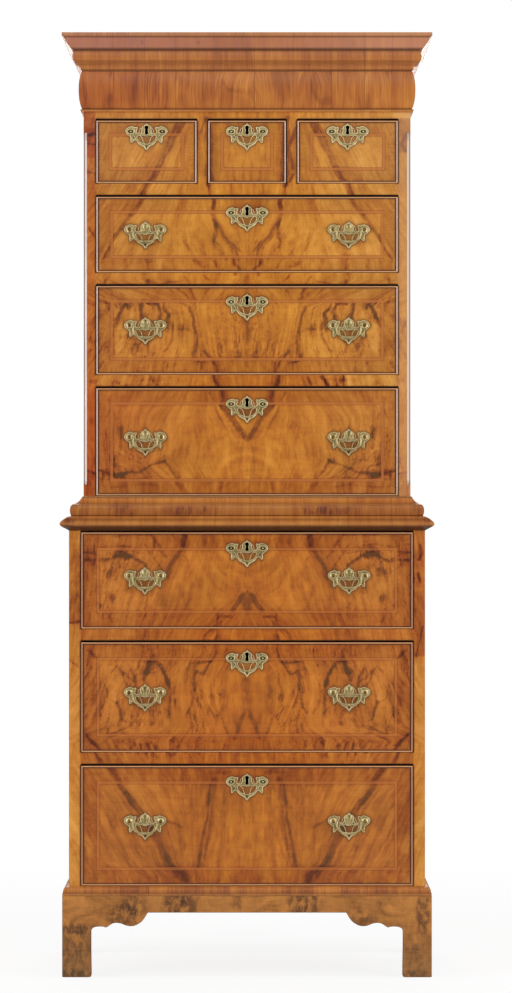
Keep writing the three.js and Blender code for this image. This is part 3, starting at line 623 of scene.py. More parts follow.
# figure of the veneer: one half, book-matched, (out from the middle, height) in millimetres
veneerFigure = dict(
    wander=3.0,
    # each streak: width at its start and end, darkness, softness of its edge, and its points
    streaks=[
        (14, 5, 0.5, 3.0, (131.6, 1711), (148, 1678.6), (171.2, 1636.8), (189.8, 1597.4),
         (201.4, 1574.2), (217.6, 1541.6), (240.8, 1513.8), (264, 1479), (291.8, 1435)),
        (7, 10, 0.42, 4.0, (71.4, 1600), (71.4, 1537), (66.8, 1516.2), (50.4, 1486), (34.2, 1462.8),
         (27, 1453.4), (22, 1411)),
        (4, 3, 0.35, 2.5, (66.8, 1516), (62, 1483.6), (70, 1470)),
        (4, 4, 0.4, 2.5, (249.4, 1342), (263.4, 1314), (269, 1300)),
        (8, 5, 0.4, 3.0, (212.6, 1344), (212.6, 1314)), (5, 4, 0.4, 2.0, (182, 1344), (176.6, 1336.6)),
        (5, 4, 0.4, 2.5, (165.6, 1333.6), (153.6, 1322.6)),
        (3, 10, 0.5, 2.5, (117.6, 1342.6), (106.4, 1319.6), (105, 1294.6), (103.6, 1269.2), (109.2, 1241)),
        (5, 7, 0.5, 3.0, (86.8, 1252.6), (72.8, 1239.6), (63, 1213), (53, 1185), (53, 1154)),
        (3, 3, 0.4, 2.0, (103.6, 1225.6), (89.6, 1225.6)), (3, 3, 0.35, 2.5, (22, 1271), (22, 1235)),
        (8, 11, 0.55, 3.0, (53, 1146), (36.2, 1123.2), (19.6, 1100.8), (2.6, 1075.6)),
        (3, 3, 0.3, 3.0, (64.4, 1140), (55.8, 1120.6), (41.8, 1095.2)),
        (3, 3, 0.36, 1.2, (208, 862), (190, 842), (176, 822), (166, 806)),
        (5, 4, 0.3, 1.6, (196, 884), (184, 868), (170, 850), (160, 838)),
        (3, 3, 0.36, 1.3, (330, 846), (300, 838), (276, 836), (250, 846)),
        (2.4, 2.4, 0.28, 1.2, (330, 862), (296, 856), (262, 862), (236, 858)),
        (4, 4.5, 0.55, 1.4, (318, 1014), (300, 1009), (278, 1004), (258, 1003), (240, 1007),
         (220, 1008.6), (207.8, 1016), (190, 1024), (172, 1029), (164, 1034)),
        (5, 12, 0.42, 2.5, (166, 1032), (157, 1023), (148, 1010), (139, 998)),
        (9, 13, 0.4, 3.0, (143, 985), (135, 976), (130, 966)),
        (11, 9, 0.34, 3.0, (283, 1006), (262, 1002), (246, 1004)),
        (3, 4, 0.36, 1.5, (274, 1031), (261, 1021), (248, 1020), (241, 1009)),
        (4, 4, 0.46, 1.5, (271, 1100), (271, 1058)), (7, 5, 0.34, 2.5, (255, 1098), (251, 1056)),
        (3, 2, 0.3, 1.2, (262, 1052), (250, 1044), (242, 1030)), (3, 2, 0.3, 1.2, (284, 1084), (282, 1040)),
        (3, 2.4, 0.24, 1.5, (300, 993), (262, 990), (214, 995), (180, 1001), (160, 994)),
        (2.4, 2.4, 0.22, 1.4, (304, 978), (262, 976), (214, 981), (172, 976)),
        (2.2, 2, 0.2, 1.2, (240, 1046), (216, 1034), (196, 1038), (180, 1046)),
        (2, 2, 0.22, 1.0, (232, 1034), (212, 1026)),
        (5, 6, 0.6, 2.5, (326.4, 829.8), (298.2, 832.2), (272.4, 834.6), (260.6, 842.8), (246.6, 845),
         (230.2, 839.2), (216, 829.8), (202, 820.4)),
        (8, 9, 0.55, 2.5, (159.8, 801.6), (155, 820.4), (143.2, 834.6), (134, 851), (126.8, 880)),
        (4, 3, 0.4, 2.5, (330, 846), (307.6, 846)),
        (7, 9, 0.62, 2.5, (0, 768.8), (9.6, 764.2), (21.2, 743), (33, 731.2)),
        (5, 5, 0.45, 2.5, (35.4, 717.2), (61.2, 717.2), (65.8, 703), (77.6, 691.4), (84.6, 676)),
        (4, 4, 0.4, 2.0, (56.4, 705.4), (58.8, 677.2)),
        (5, 4, 0.45, 2.5, (63.4, 668), (63.4, 646.8), (68.2, 630.2)),
        (3, 7, 0.5, 2.5, (110.4, 629.2), (68.2, 630.2), (87, 606.8), (105.8, 611.6), (107, 574)),
        (8, 8, 0.5, 3.0, (192.6, 632.6), (199.6, 609.2)), (6, 6, 0.45, 3.5, (173.8, 625.6), (157.6, 585.6)),
        (6, 5, 0.4, 3.0, (249, 609.2), (220.8, 588)), (5, 4, 0.4, 3.0, (321.6, 649), (305.2, 635)),
        (5, 20, 0.5, 3.5, (321.4, 478.8), (300, 457.4), (286.6, 430.6), (273.2, 411.8), (254.4, 387.8),
         (238.4, 361), (217, 334.2), (184.8, 283.4), (171.4, 256.6), (158, 224.4), (128.6, 195)),
        (4, 6, 0.5, 2.5, (72.4, 391), (75, 358.4), (77.6, 318.2), (88.4, 264.6), (96.4, 220)),
        (8, 5, 0.3, 3.5, (64, 391), (66.6, 358.4), (69.2, 318.2), (80, 264.6), (88, 220)),
        (9, 7, 0.35, 3.5, (72.4, 406.6), (40.2, 406.6)), (5, 4, 0.35, 3.0, (160.8, 310), (131.2, 296.6)),
        # short drawers
        (8, 9, 0.3, 3.5, (77, 1722), (75, 1660), (71, 1590)),
        (5, 6, 0.3, 2.5, (99, 1712), (92, 1680), (98, 1640)),
        # first long drawer of the upper case and the rail below it
        (8, 8, 0.4, 2.5, (71, 1555), (71, 1537)),
        (6, 5, 0.4, 2.5, (64, 1507), (66, 1490), (69, 1475), (67, 1460)),
        (3, 3, 0.3, 1.5, (32, 1472), (15, 1452)), (3, 3, 0.3, 2.0, (125, 1472), (115, 1455)),
        (3, 4, 0.32, 1.5, (95, 1457), (85, 1442), (70, 1427), (62, 1412)),
        (8, 5, 0.4, 2.0, (32, 1434), (28, 1422), (17, 1415)),
        (8, 5, 0.35, 2.5, (110, 1430), (102, 1420), (90, 1417)), (3, 3, 0.4, 1.5, (125, 1407), (112, 1392)),
        (3, 3, 0.35, 1.5, (170, 1390), (150, 1395), (135, 1397)), (3, 3, 0.4, 1.5, (82, 1407), (70, 1395)),
        (5, 4, 0.35, 1.5, (280, 1401), (281, 1390)), (8, 7, 0.35, 2.0, (197, 1396), (199, 1390)),
        (4, 3, 0.2, 2.0, (187, 1527), (189, 1507)), (6, 5, 0.25, 2.0, (247, 1432), (244, 1420)),
        # second long drawer of the upper case and the rail below it
        (5, 5, 0.45, 2.0, (260, 1325), (253, 1339), (245, 1345), (240, 1338)),
        (6, 5, 0.4, 2.0, (268, 1314), (260, 1321)), (5, 5, 0.35, 2.0, (215, 1348), (214, 1328), (215, 1314)),
        (5, 6, 0.45, 2.0, (202, 1347), (181, 1345), (177, 1330), (177, 1316)),
        (16, 14, 0.2, 4.0, (194, 1346), (192, 1318)),
        (5, 6, 0.5, 2.0, (171, 1345), (166, 1335), (157, 1328), (162, 1317)),
        (8, 7, 0.42, 2.5, (157, 1327), (160, 1305), (160, 1291)),
        (4, 5, 0.36, 2.0, (150, 1310), (152, 1280), (162, 1261), (170, 1252)),
        (8, 11, 0.3, 4.0, (240, 1284), (225, 1268), (214, 1256)),
        (9, 7, 0.25, 3.0, (232, 1262), (228, 1246)), (5, 4, 0.38, 2.0, (200, 1270), (197, 1250)),
        (4, 5, 0.35, 2.0, (138, 1297), (125, 1298), (115, 1292)),
        (3, 3, 0.25, 1.5, (130, 1327), (125, 1310)), (4, 4, 0.45, 1.5, (109, 1227), (97, 1225), (95, 1212)),
        (5, 9, 0.34, 2.5, (2, 1312), (0, 1267), (2, 1222)),
        (5, 5, 0.36, 2.0, (20, 1252), (12, 1243), (19, 1239)), (3, 3, 0.25, 1.5, (20, 1298), (17, 1272)),
        (4, 4, 0.4, 1.5, (290, 1356), (285, 1343)), (5, 4, 0.35, 2.0, (267, 1255), (273, 1241)),
        (7, 6, 0.3, 2.0, (187, 1201), (175, 1184)),
        # third long drawer of the upper case
        (4, 4, 0.4, 1.5, (80, 1166), (72, 1154)), (4, 4, 0.35, 1.5, (57, 1169), (55, 1156)),
        (5, 4, 0.3, 2.0, (267, 1126), (262, 1115)), (8, 6, 0.36, 2.0, (252, 1101), (250, 1080)),
        (4, 4, 0.3, 2.0, (282, 1154), (277, 1134), (285, 1116)),
        (2, 2, 0.2, 1.0, (137, 1101), (122, 1114), (107, 1124)),
        # first drawer of the lower case
        (13, 13, 0.4, 3.5, (266, 846), (252, 848), (240, 840)), (14, 12, 0.2, 4.0, (262, 829), (242, 822)),
        (12, 10, 0.34, 3.0, (126, 882), (131, 865)), (9, 8, 0.2, 3.0, (90, 880), (88, 860)),
        (4, 4, 0.34, 1.5, (270, 880), (232, 881), (193, 880)),
        (2, 2, 0.26, 1.0, (233, 851), (216, 847), (198, 845)),
        (2, 2, 0.24, 1.0, (133, 785), (130, 765), (123, 745), (113, 730)),
        (3, 3, 0.22, 1.5, (73, 795), (63, 780), (38, 765)), (2.5, 2.5, 0.26, 1.2, (58, 817), (38, 800)),
        (2, 2, 0.2, 1.0, (75, 762), (73, 745), (58, 730)), (3, 3, 0.4, 1.5, (63, 721), (66, 706)),
        (3, 3, 0.3, 1.5, (125, 840), (118, 829)), (4, 4, 0.34, 1.5, (275, 720), (272, 706)),
        (2, 2, 0.18, 1.0, (100, 800), (92, 778), (78, 760)),
        # second drawer of the lower case
        (3, 3, 0.42, 1.5, (270, 607), (259, 620), (252, 613)),
        (3, 4, 0.4, 1.5, (250, 612), (243, 590), (237, 580)),
        (4, 6, 0.4, 2.0, (230, 615), (221, 598), (223, 576)),
        (7, 6, 0.5, 2.0, (195, 631), (200, 613), (205, 592)),
        (7, 8, 0.45, 2.5, (183, 631), (173, 618), (165, 600), (158, 585)),
        (4, 4, 0.38, 1.5, (158, 585), (153, 573), (155, 553), (158, 533)),
        (6, 5, 0.5, 2.0, (260, 548), (255, 530), (250, 515), (243, 512)),
        (3, 3, 0.32, 1.5, (229, 532), (231, 517)), (8, 7, 0.38, 2.5, (193, 532), (188, 520), (190, 505)),
        (3, 4, 0.34, 1.5, (166, 538), (154, 527)), (4, 4, 0.42, 1.5, (107, 574), (108, 555), (120, 526)),
        (5, 4, 0.24, 2.0, (115, 627), (123, 598), (125, 572)),
        (3, 3, 0.26, 1.5, (294, 620), (293, 590), (300, 565)),
        (3, 3, 0.36, 1.5, (278, 572), (276, 555), (263, 547)), (6, 5, 0.34, 2.0, (298, 530), (290, 517)),
        (4, 4, 0.4, 1.5, (277, 495), (280, 482)), (12, 10, 0.2, 4.0, (253, 500), (238, 482)),
        (6, 6, 0.46, 2.0, (326, 483), (305, 458)),
        (8, 7, 0.36, 2.5, (3, 592), (1, 560), (4, 532), (20, 497), (28, 475)),
        (3, 3, 0.3, 1.2, (76, 537), (58, 522), (63, 507)),
        (3, 3, 0.34, 1.5, (50, 517), (45, 497), (35, 478)),
        (3, 3, 0.26, 1.2, (106, 522), (98, 512), (88, 510)),
        # paler patches, with a darkness below zero
        (22, 20, -0.16, 5.0, (268, 612), (262, 590), (270, 560)),
        (26, 30, -0.15, 6.0, (270, 545), (274, 515)),
        (36, 26, -0.1, 8.0, (150, 630), (138, 600), (132, 565)), (14, 18, -0.1, 6.0, (30, 540), (46, 480)),
        (28, 34, -0.1, 8.0, (148, 1290), (138, 1255)), (14, 16, -0.14, 5.0, (258, 1300), (258, 1258)),
        (36, 36, -0.08, 10.0, (80, 820), (92, 780)), (40, 40, -0.07, 10.0, (200, 765), (190, 720)),
    ],
    # each knot: middle, half width, half height, darkness
    knots=[
        (0, 744, 17, 26, 0.26), (31, 1424, 6, 12, 0.22), (101.6, 1425.6, 9, 6, 0.25),
        (131.6, 1294.6, 13, 15, 0.3), (238, 1345, 9, 5, 0.35), (255, 1193, 9, 5, 0.28),
        (190.6, 1196, 7, 5, 0.25), (302.8, 1196, 9, 5, 0.25),
        (263.6, 1030.6, 16, 14, 0.3), (246, 1003, 13, 8, 0.35), (267.8, 757, 6, 13, 0.5),
        (293.6, 740.6, 7, 6, 0.45), (272.4, 808.6, 15, 11, 0.35), (234.8, 771.2, 9, 11, 0.3),
        (245, 842, 17, 9, 0.3), (16, 1132, 17, 11, 0.3), (0, 748, 14, 20, 0.22), (262, 1342, 10, 7, 0.3),
    ],
    # each flame: middle of its arcs, reach, distance between arcs, darkness
    flames=[(0, 972, 178, 11, 0.13), (0, 884, 150, 10, 0.12), (0, 470, 120, 14, 0.05)],
    # each burr: left, right, bottom, top, darkness
    burrs=[
        (0, 330, 1204, 1386, 0.26), (150, 330, 985, 1110, 0.28), (180, 335, 700, 880, 0.26),
        (40, 340, 448, 672, 0.26), (60, 330, 1409, 1500, 0.14), (60, 250, 440, 471, 0.3),
        (60, 330, 1181, 1204, 0.4), (0, 90, 1409, 1480, 0.2),
    ],
    # each guide of the grain, from the middle outwards: heights and how far out it runs there
    guides=[
        ((150, 0), (1760, 0)),
        ((160, 104), (224, 96), (264, 88), (318, 78), (385, 72), (470, 66), (574, 96), (606, 87), (630, 68),
         (660, 60), (680, 84), (703, 66), (731, 33), (743, 21), (764, 10), (880, 6), (960, 8), (1075, 8),
         (1100, 20), (1123, 36), (1154, 53), (1213, 63), (1239, 73), (1271, 86), (1342, 92), (1400, 20),
         (1453, 27), (1486, 50), (1516, 67), (1555, 71), (1720, 76)),
        ((160, 112), (200, 129), (224, 158), (256, 171), (334, 217), (387, 254), (430, 287), (470, 305),
         (500, 215), (609, 200), (632, 193), (700, 190), (801, 160), (834, 143), (872, 127), (900, 150),
         (985, 150), (1030, 190), (1120, 170), (1190, 118), (1241, 109), (1269, 104), (1319, 107),
         (1342, 118), (1400, 300), (1435, 292), (1479, 264), (1541, 218), (1597, 190), (1678, 148),
         (1720, 127)),
        ((150, 330), (450, 430), (600, 330), (900, 280), (1190, 310), (1342, 250), (1390, 330), (1435, 400),
         (1574, 300), (1720, 240)),
    ],
    # overall tone, as (height, darkness, warmth)
    tones=[
        (150, 0.2, 0.2), (300, 0.16, 0.3), (440, 0.13, 0.38), (480, 0.06, 0.52), (660, 0.06, 0.48),
        (700, 0.1, 0.46), (880, 0.08, 0.46), (960, 0.045, 0.26), (1170, 0.035, 0.24), (1210, 0.06, 0.14),
        (1390, 0.02, 0.16), (1410, -0.03, 0.08), (1720, -0.02, 0.14),
    ],
)


def streakTone(out, up, streak):
    # darkness that falls off with the distance to a line of points, wider towards its end
    startWidth, endWidth, dark, soft, *points = streak
    points = np.array(points, float)
    low, high = points.min(0) - 30, points.max(0) + 30
    near = (out > low[0]) & (out < high[0]) & (up > low[1]) & (up < high[1])
    tone = np.zeros_like(out)
    if not near.any():
        return tone
    here = joined(out[near], up[near])
    lengths = np.linalg.norm(np.diff(points, axis=0), axis=1)
    travelled = np.concatenate([[0], np.cumsum(lengths)])
    least, width = np.full(len(here), 1e9), np.zeros(len(here))
    for start, end, length, before in zip(points[:-1], points[1:], lengths, travelled):
        along = np.clip((here - start) @ (end - start) / length ** 2, 0, 1)
        away = np.linalg.norm(here - start - along[:, None] * (end - start), axis=1)
        share = (before + along * length) / travelled[-1]
        closer = away < least
        least = np.where(closer, away, least)
        width = np.where(closer, startWidth + (endWidth - startWidth) * share, width)
    ragged = layered(here[:, 0] / 7, here[:, 1] / 7, 91) * 0.3 + 1
    reach = width / 2 * ragged
    body = 1 - ease(least, reach - soft * 0.5, reach + soft * 0.7)
    halo = np.exp(-(least / (width * 0.9 + 6)) ** 2)
    broken = 0.8 + 0.2 * ease(layered(here[:, 0] / 11, here[:, 1] / 22, 97), -0.35, 0.35)
    tone[near] = dark * (body * 0.96 * broken + halo * 0.16)
    return tone


def grainAcross(out, up):
    # how far across the grain a point is: constant along the guides and even between two of them
    places = [np.interp(up, *np.array(guide, float).T) for guide in veneerFigure['guides']]
    marks = [0, 70, 190, 330]
    across = marks[-1] + out - places[-1]
    for i in range(len(places) - 2, -1, -1):
        share = (out - places[i]) / np.maximum(places[i + 1] - places[i], 8)
        across = np.where(out < places[i + 1], marks[i] + share * (marks[i + 1] - marks[i]), across)
    return across


def flameTone(out, up):
    # noise drawn in arcs round the middle of each flame
    tone = np.zeros_like(out)
    for middle, height, reach, spacing, dark in veneerFigure['flames']:
        distance = np.hypot(out - middle, (up - height) * 0.9)
        arcs = layered(distance / spacing, out / 60, 43)
        tone += 1.6 * dark * arcs * (1 - ease(distance, reach * 0.7, reach))
    return tone


def burrTone(across, out, up):
    # curls and thin lines where the lumps are, and how lively the figure is
    curls = layered(across / 4.2, up / 24, 53) + 0.55 * layered(out / 12, up / 20, 59)
    lines = 1 - np.abs(layered(across / 11, up / 38, 55)) * 7
    lumps = layered(out / 34, up / 42, 57)
    marks = 1.15 * ease(curls, 0.05, 0.75) + 0.6 * np.clip(lines, 0, 1)
    marks = marks * (0.25 + 0.75 * ease(lumps, -0.3, 0.3)) - 0.12
    tone, lively = np.zeros_like(out), np.zeros_like(out)
    for left, right, low, high, dark in veneerFigure['burrs']:
        inside = between(out, left, right, 14) * between(up, low + 4, high - 4, 10)
        lively = np.maximum(lively, inside * min(1, dark / 0.28))
        tone += dark * inside * marks
    return tone, lively


def knotTone(across, out, up):
    # ovals with a ragged edge, crossed by the lines of the grain
    ragged = 0.55 * layered(out / 6, up / 6, 63)
    lines = 0.85 + 0.5 * layered(across / 2.6, up / 14, 73)
    tone = np.zeros_like(out)
    for middle, height, wide, tall, dark in veneerFigure['knots']:
        away = np.hypot((out - middle) / wide, (up - height) / tall) + ragged
        tone += dark * (1 - ease(away, 0.3, 1.3)) * lines
    return tone


def veneerTone(x, z, slip):
    # what the veneer's material reads at these places of the front, slip shifts a cross band
    mirrored = np.abs(x)
    hand = np.where(x < 0, 400.0, 0.0)
    wander = veneerFigure['wander']
    out = mirrored + wander * layered(mirrored / 30 + hand, z / 30, 11) + slip
    up = z + wander * layered(mirrored / 26 + hand, z / 26, 23) - slip
    out = out + 4.0 * layered(out / 55, up / 55, 13) + 1.4 * layered(out / 8, up / 12, 17)
    up = up + 3.0 * layered(out / 45, up / 45, 19)
    across = grainAcross(out, up)
    tone = 0.17 * layered(across / 30, up / 170, 31) + 0.2 * layered(across / 7, up / 70, 37)
    tone = tone + 0.16 * layered(across / 3.2, up / 26, 47) + 0.12 * layered(out / 11, up / 13, 41)
    burrs, lively = burrTone(across, out, up)
    tone = tone + flameTone(out, up) + burrs + knotTone(across, out, up)
    streaks = sum(streakTone(out, up, streak) for streak in veneerFigure['streaks'])
    streaks = streaks * (0.78 + 0.5 * layered(across / 3.2, up / 30, 61) + 0.4 * layered(out / 5, up / 8, 71))
    heights, darkness, warmth = np.array(veneerFigure['tones'], float).T
    tone = 0.3 + tone + streaks + np.interp(z, heights, darkness)
    tone = tone - 0.16 * np.maximum(tone - 0.52, 0)
    warm = np.interp(z, heights, warmth) + 0.18 * layered(out / 90 + hand, up / 90, 67)
    # redder at the left of the upper case's lowest drawer, faded at the upper right
    warm = warm + 0.35 * ease(np.abs(z - 1070), 130, 60) * ease(-x, 90, 230)
    sunny = ease(x, 40, 260) * ease(z, 1150, 1230)
    tone, warm = tone - 0.05 * sunny, np.clip(warm - 0.2 * sunny, 0, 1)
    return dict(veneer=joined(tone, warm, 0), grain=joined(across, up, hand), figure=joined(lively, 0, 0))


# a pierced plate: lengths in millimetres, outlines of its right half in shares of its width
plateShape = dict(
    width=84.5, postFoot=1.6, sheet=1.0, rounding=0.3, posts=63.5, pinDrop=0.201,
    keyAbove=8.0, keyBelow=-2.4, keyHead=3.9, keyFoot=3.6, keyNeck=2.7,
    outline=[
        (0, 0.201), (0.02, 0.172), (0.05, 0.152), (0.085, 0.137), (0.108, 0.11), (0.116, 0.07),
        (0.121, 0.012), (0.149, -0.04), (0.19, -0.05), (0.222, -0.03), (0.234, 0.0), (0.222, 0.045),
        (0.206, 0.085), (0.222, 0.112), (0.255, 0.108), (0.285, 0.102), (0.315, 0.122), (0.343, 0.128),
        (0.375, 0.124), (0.406, 0.114), (0.45, 0.092), (0.479, 0.065), (0.497, 0.03), (0.5, 0),
        (0.488, -0.04), (0.462, -0.07), (0.43, -0.096), (0.4, -0.115), (0.374, -0.147), (0.38, -0.19),
        (0.378, -0.234), (0.36, -0.275), (0.335, -0.262), (0.31, -0.234), (0.29, -0.216), (0.265, -0.211),
        (0.238, -0.226), (0.222, -0.25), (0.206, -0.275), (0.182, -0.302), (0.157, -0.322), (0.12, -0.34),
        (0.093, -0.355), (0.062, -0.372), (0.04, -0.4), (0.02, -0.43), (0, -0.446),
    ],
    crescent=[
        (0, -0.118), (0.055, -0.108), (0.107, -0.094), (0.154, -0.104), (0.19, -0.1), (0.216, -0.112),
        (0.214, -0.15), (0.198, -0.19), (0.172, -0.225), (0.135, -0.253), (0.095, -0.27), (0.05, -0.284),
        (0, -0.29),
    ],
    # raised scrolls of the right half: (x, z) from the middle of the line of the posts, and radius
    scrolls=[
        ([(9.2, 7.4), (12.4, 5.2), (13.6, 1.2), (14.4, -2.2), (17.5, -3.9)], 0.6),
        ([(26.5, -6.5), (24, -11), (21.5, -13.5)], 0.6),
        ([(31.5, -7.5), (31.2, -12.5), (29.3, -18.5)], 0.55),
        ([(20, -18), (15, -23), (9.5, -26.4), (4.2, -29.6)], 0.6),
        ([(13.2, -8.6), (9.2, -12), (7.6, -16), (6.4, -20.4), (3.2, -25.8)], 0.7),
        ([(5.4, -27.2), (3, -31), (0.4, -34.6)], 0.5), ([(23.5, 7.8), (25.5, 4.2), (22.6, 1.2)], 0.55),
        ([(37.2, 4.6), (38.6, 0.5), (37, -3.6)], 0.5),
    ],
    # rims as (radius, how far in from the edge, polish), a negative inset lies to the right of the run
    rims=dict(outline=(0.75, -0.75, 1.0), crescent=(0.7, 0.7, 0.9), keyhole=(0.5, -0.6, 1.0)),
    # raised rings of the right half: (x, z, radius, radius of the rod, squash, polish)
    rings=[(31.75, 0, 6.9, 0.85, 0.68, 1.0), (12.9, -24.3, 1.3, 0.45, 1.0, 0.8)],
    # the fluted dome's height above the posts, how tall for its width it is, and the ring round it
    dome=dict(z=2.6, squash=1.22, radius=8.2, rod=0.55, flutes=9, fluteFoot=7),
    # holes as (x, z, half width, half height, lean in degrees)
    holes=[(0, -29.8, 1.9, 2.6, 0), (25.2, -11.5, 1.5, 2.4, 25), (-25.2, -11.5, 1.5, 2.4, -25)],
)
# a drawer front, whose key well is given by its half width and its reach up and down
frontShape = dict(
    bead=3.2, beadRise=1.6, quirk=0.5, quirkDepth=0.7, lip=0.8, cell=2.0, keyWell=(4.4, 12.2, 6.0),
    wellDepth=15.0, keyDrop=dict(short=22.0, upper=32.0, lower=32.0), plateSink=0.05, bandSlip=3.0,
)
# dirt and painted shade round a plate: reach of the search, how fast it fades, and the painted shade seen
# through its openings
plateDirtShadeReach = dict(reachX=50, reachZ=38, middleZ=-10, fade=2.9, inHole=1.25, inCrescent=0.62)
drawers = [name[:-len('_front')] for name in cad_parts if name.endswith('_front')]


def caseOf(drawer):
    # short, upper or lower
    return drawer.split('_')[0]


def mirroredOutline(label):
    # a closed outline of the plate in millimetres, from the shares of its right half
    right = np.array(plateShape[label], float) * plateShape['width']
    return throughPoints(np.concatenate([right, right[-2:0:-1] * [-1, 1]]), 3, closed=True)


def keyPlace(drawer):
    # middle of the line of the posts of a keyhole plate
    low, high = corners(f'{drawer}_front')
    return dict(x=(low[0] + high[0]) / 2, y=low[1] + frontShape['beadRise'] - frontShape['plateSink'],
                z=high[2] - frontShape['keyDrop'][caseOf(drawer)])


def platePlace(plateNode):
    # the same place of a handle plate, whose top is its outline's first point
    low, high = corners(plateNode)
    return dict(x=(low[0] + high[0]) / 2, y=high[1], z=high[2] - plateShape['pinDrop'] * plateShape['width'])


def plateDirtAndShade(drawer, x, z):
    # dirt and old polish with painted shade on the wood close to the outlines of a drawer's plates, and
    # painted shade in their openings
    shape = plateDirtShadeReach
    plates = [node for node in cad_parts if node.startswith(f'{drawer}_handle_plate')]
    edge = np.concatenate([mirroredOutline('outline'), mirroredOutline('crescent')])
    grime = np.zeros_like(x)
    for place in [keyPlace(drawer), *map(platePlace, plates)]:
        away = joined(x - place['x'], z - place['z'])
        inReach = np.abs(away - [0, shape['middleZ']]) < [shape['reachX'], shape['reachZ']]
        near = np.flatnonzero(inReach.all(1))
        away = away[near]
        least = np.linalg.norm(away[:, None] - edge[None], axis=2).min(1)
        grime[near] = np.exp(-(least / shape['fade']) ** 1.5)
        # painted shade on the wood seen through the holes and the crescent
        for hole in plateShape['holes']:
            inHole = np.linalg.norm(away - hole[:2], axis=1)
            grime[near] = np.maximum(grime[near], shape['inHole'] * (1 - ease(inHole, 2.5, 5)))
        inCrescent = np.hypot(away[:, 0] / 17, (away[:, 1] + 16) / 8.5)
        grime[near] = np.maximum(grime[near], shape['inCrescent'] * (1 - ease(inCrescent, 0.8, 1.1)))
    return grime


def spread(start, end, cell):
    # evenly spaced values from start to end, about one cell apart
    return np.linspace(start, end, max(2, int(round((end - start) / cell)) + 1))


def borderOf(rows, columns):
    # indices round the border of a grid, anticlockwise from its first corner
    index = np.arange(rows * columns).reshape(rows, columns)
    return np.concatenate([index[0, :-1], index[:-1, -1], index[-1, :0:-1], index[:0:-1, 0]])


def gridMarks(start, hole, end):
    # marks of a front's grid, with one at either edge of the hole
    stretches = [spread(*stretch, frontShape['cell']) for stretch in ((start, hole[0]), hole, (hole[1], end))]
    return np.unique(np.concatenate(stretches).round(6))


def frontMesh(drawer):
    # A grid of points for the face, rings of points for quirk, bead and edges, and a well for the key
    shape = frontShape
    low, high = corners(f'{drawer}_front')
    key, faceY = keyPlace(drawer), low[1] + shape['beadRise']
    inset = shape['bead'] + shape['quirk']
    wellHalf, wellUp, wellDown = shape['keyWell']
    wells = (key['x'] - wellHalf, key['x'] + wellHalf), (key['z'] - wellDown, key['z'] + wellUp)
    columns, rows = (gridMarks(low[axis] + inset, well, high[axis] - inset)
                     for axis, well in zip((0, 2), wells))
    z, x = np.meshgrid(rows, columns, indexing='ij')
    face = joined(x, faceY, z).reshape(-1, 3)
    quads = gridFaces(len(rows), len(columns))
    middle = face[quads].mean(1)
    inWell = np.all([(middle[:, axis] > well[0]) & (middle[:, axis] < well[1])
                     for axis, well in zip((0, 2), wells)], axis=0)
    # profile from the face out to the back: how far in from the edge, and y
    turn = np.linspace(0, math.pi, 9)
    bead = joined(shape['bead'] / 2 * (1 + np.cos(turn)), faceY - shape['beadRise'] * np.sin(turn))
    quirkY = faceY + shape['quirkDepth']
    profile = np.concatenate([
        [[inset, quirkY], [shape['bead'], quirkY]], bead, [[0.0, faceY + shape['lip']], [0.0, high[1]]]])
    border = borderOf(len(rows), len(columns))
    edge, count, first = face[border], len(border), len(face)
    outX, outZ = (np.isclose(edge[:, axis], marks[-1]) * 1.0 - np.isclose(edge[:, axis], marks[0])
                  for axis, marks in ((0, columns), (2, rows)))
    move = inset - profile[:, :1]
    rings = joined(edge[:, 0] + move * outX, profile[:, 1:], edge[:, 2] + move * outZ).reshape(-1, 3)
    ringFaces = gridFaces(len(profile), count, first, closed=True)
    index = np.arange(count)
    start = joined(border, np.roll(border, -1), first + np.roll(index, -1), first + index)
    back = first + (len(profile) - 1) * count + index
    # the well behind the keyhole, a box sunk into the face, its walls and bottom near black as painted shade
    columnIn, rowIn = (np.flatnonzero((marks > well[0] - 1e-3) & (marks < well[1] + 1e-3))
                       for marks, well in zip((columns, rows), wells))
    inner = borderOf(len(rowIn), len(columnIn))
    mouth = rowIn[inner // len(columnIn)] * len(columns) + columnIn[inner % len(columnIn)]
    sunk = first + len(rings) + np.arange(len(mouth))
    well = joined(mouth, sunk, np.roll(sunk, -1), np.roll(mouth, -1))
    points = np.concatenate([face, rings, face[mouth] + [0, shape['wellDepth'], 0]])
    # a face at the front is turned so that its normal points to -y
    groups = [quads[~inWell], start[:, ::-1], ringFaces[:, ::-1], back[None, ::-1], well[:, ::-1], sunk[None]]
    # veneer, the edge's last two rings, the back and the well
    kinds = np.repeat([0, 1, 3, 2], [
        len(groups[0]) + (len(profile) - 2) * count, 2 * count, 1, len(well) + 1])
    return points, groups, kinds


def makeFront(drawer):
    # the cross band's veneer is cut from another place than the field's
    points, groups, kinds = frontMesh(drawer)
    low, high = corners(f'{drawer}_front')
    x, z = points[:, 0], points[:, 2]
    edges = joined(np.minimum(x - low[0], high[0] - x), np.minimum(z - low[2], high[2] - z), 0)
    inBand = edges[:, :2].min(1) < frontBands[caseOf(drawer)]['inset'] + 3
    values = dict(veneerTone(x, z, frontShape['bandSlip'] * inBand), edges=edges)
    # dirt and painted shade round the plates
    values['veneer'][:, 2] = plateDirtAndShade(drawer, x, z)
    materials = [frontVeneers[caseOf(drawer)], edgeWood, keyholeShade, oakAcross]
    made = makePiece(f'{drawer}_veneered_front', points, groups, materials, kinds, onPoints=values)
    return settle(made, drawer, 'walnut_veneer', f'{drawer}_front')


for drawerName in drawers:
    makeFront(drawerName)
print('drawer fronts done')


# veneer on the front edges of the case, and what it leaves out
caseFront = dict(
    cell=2.0, thickness=0.4, slip=-4.0, shadedEdge=4.4, cant=7.0, cantLow=31.0, cantHigh=28.0, footLap=8.0,
    railHeight=23.0, partition=89.5, partitionHalf=10.0, topGap=6.0,
)
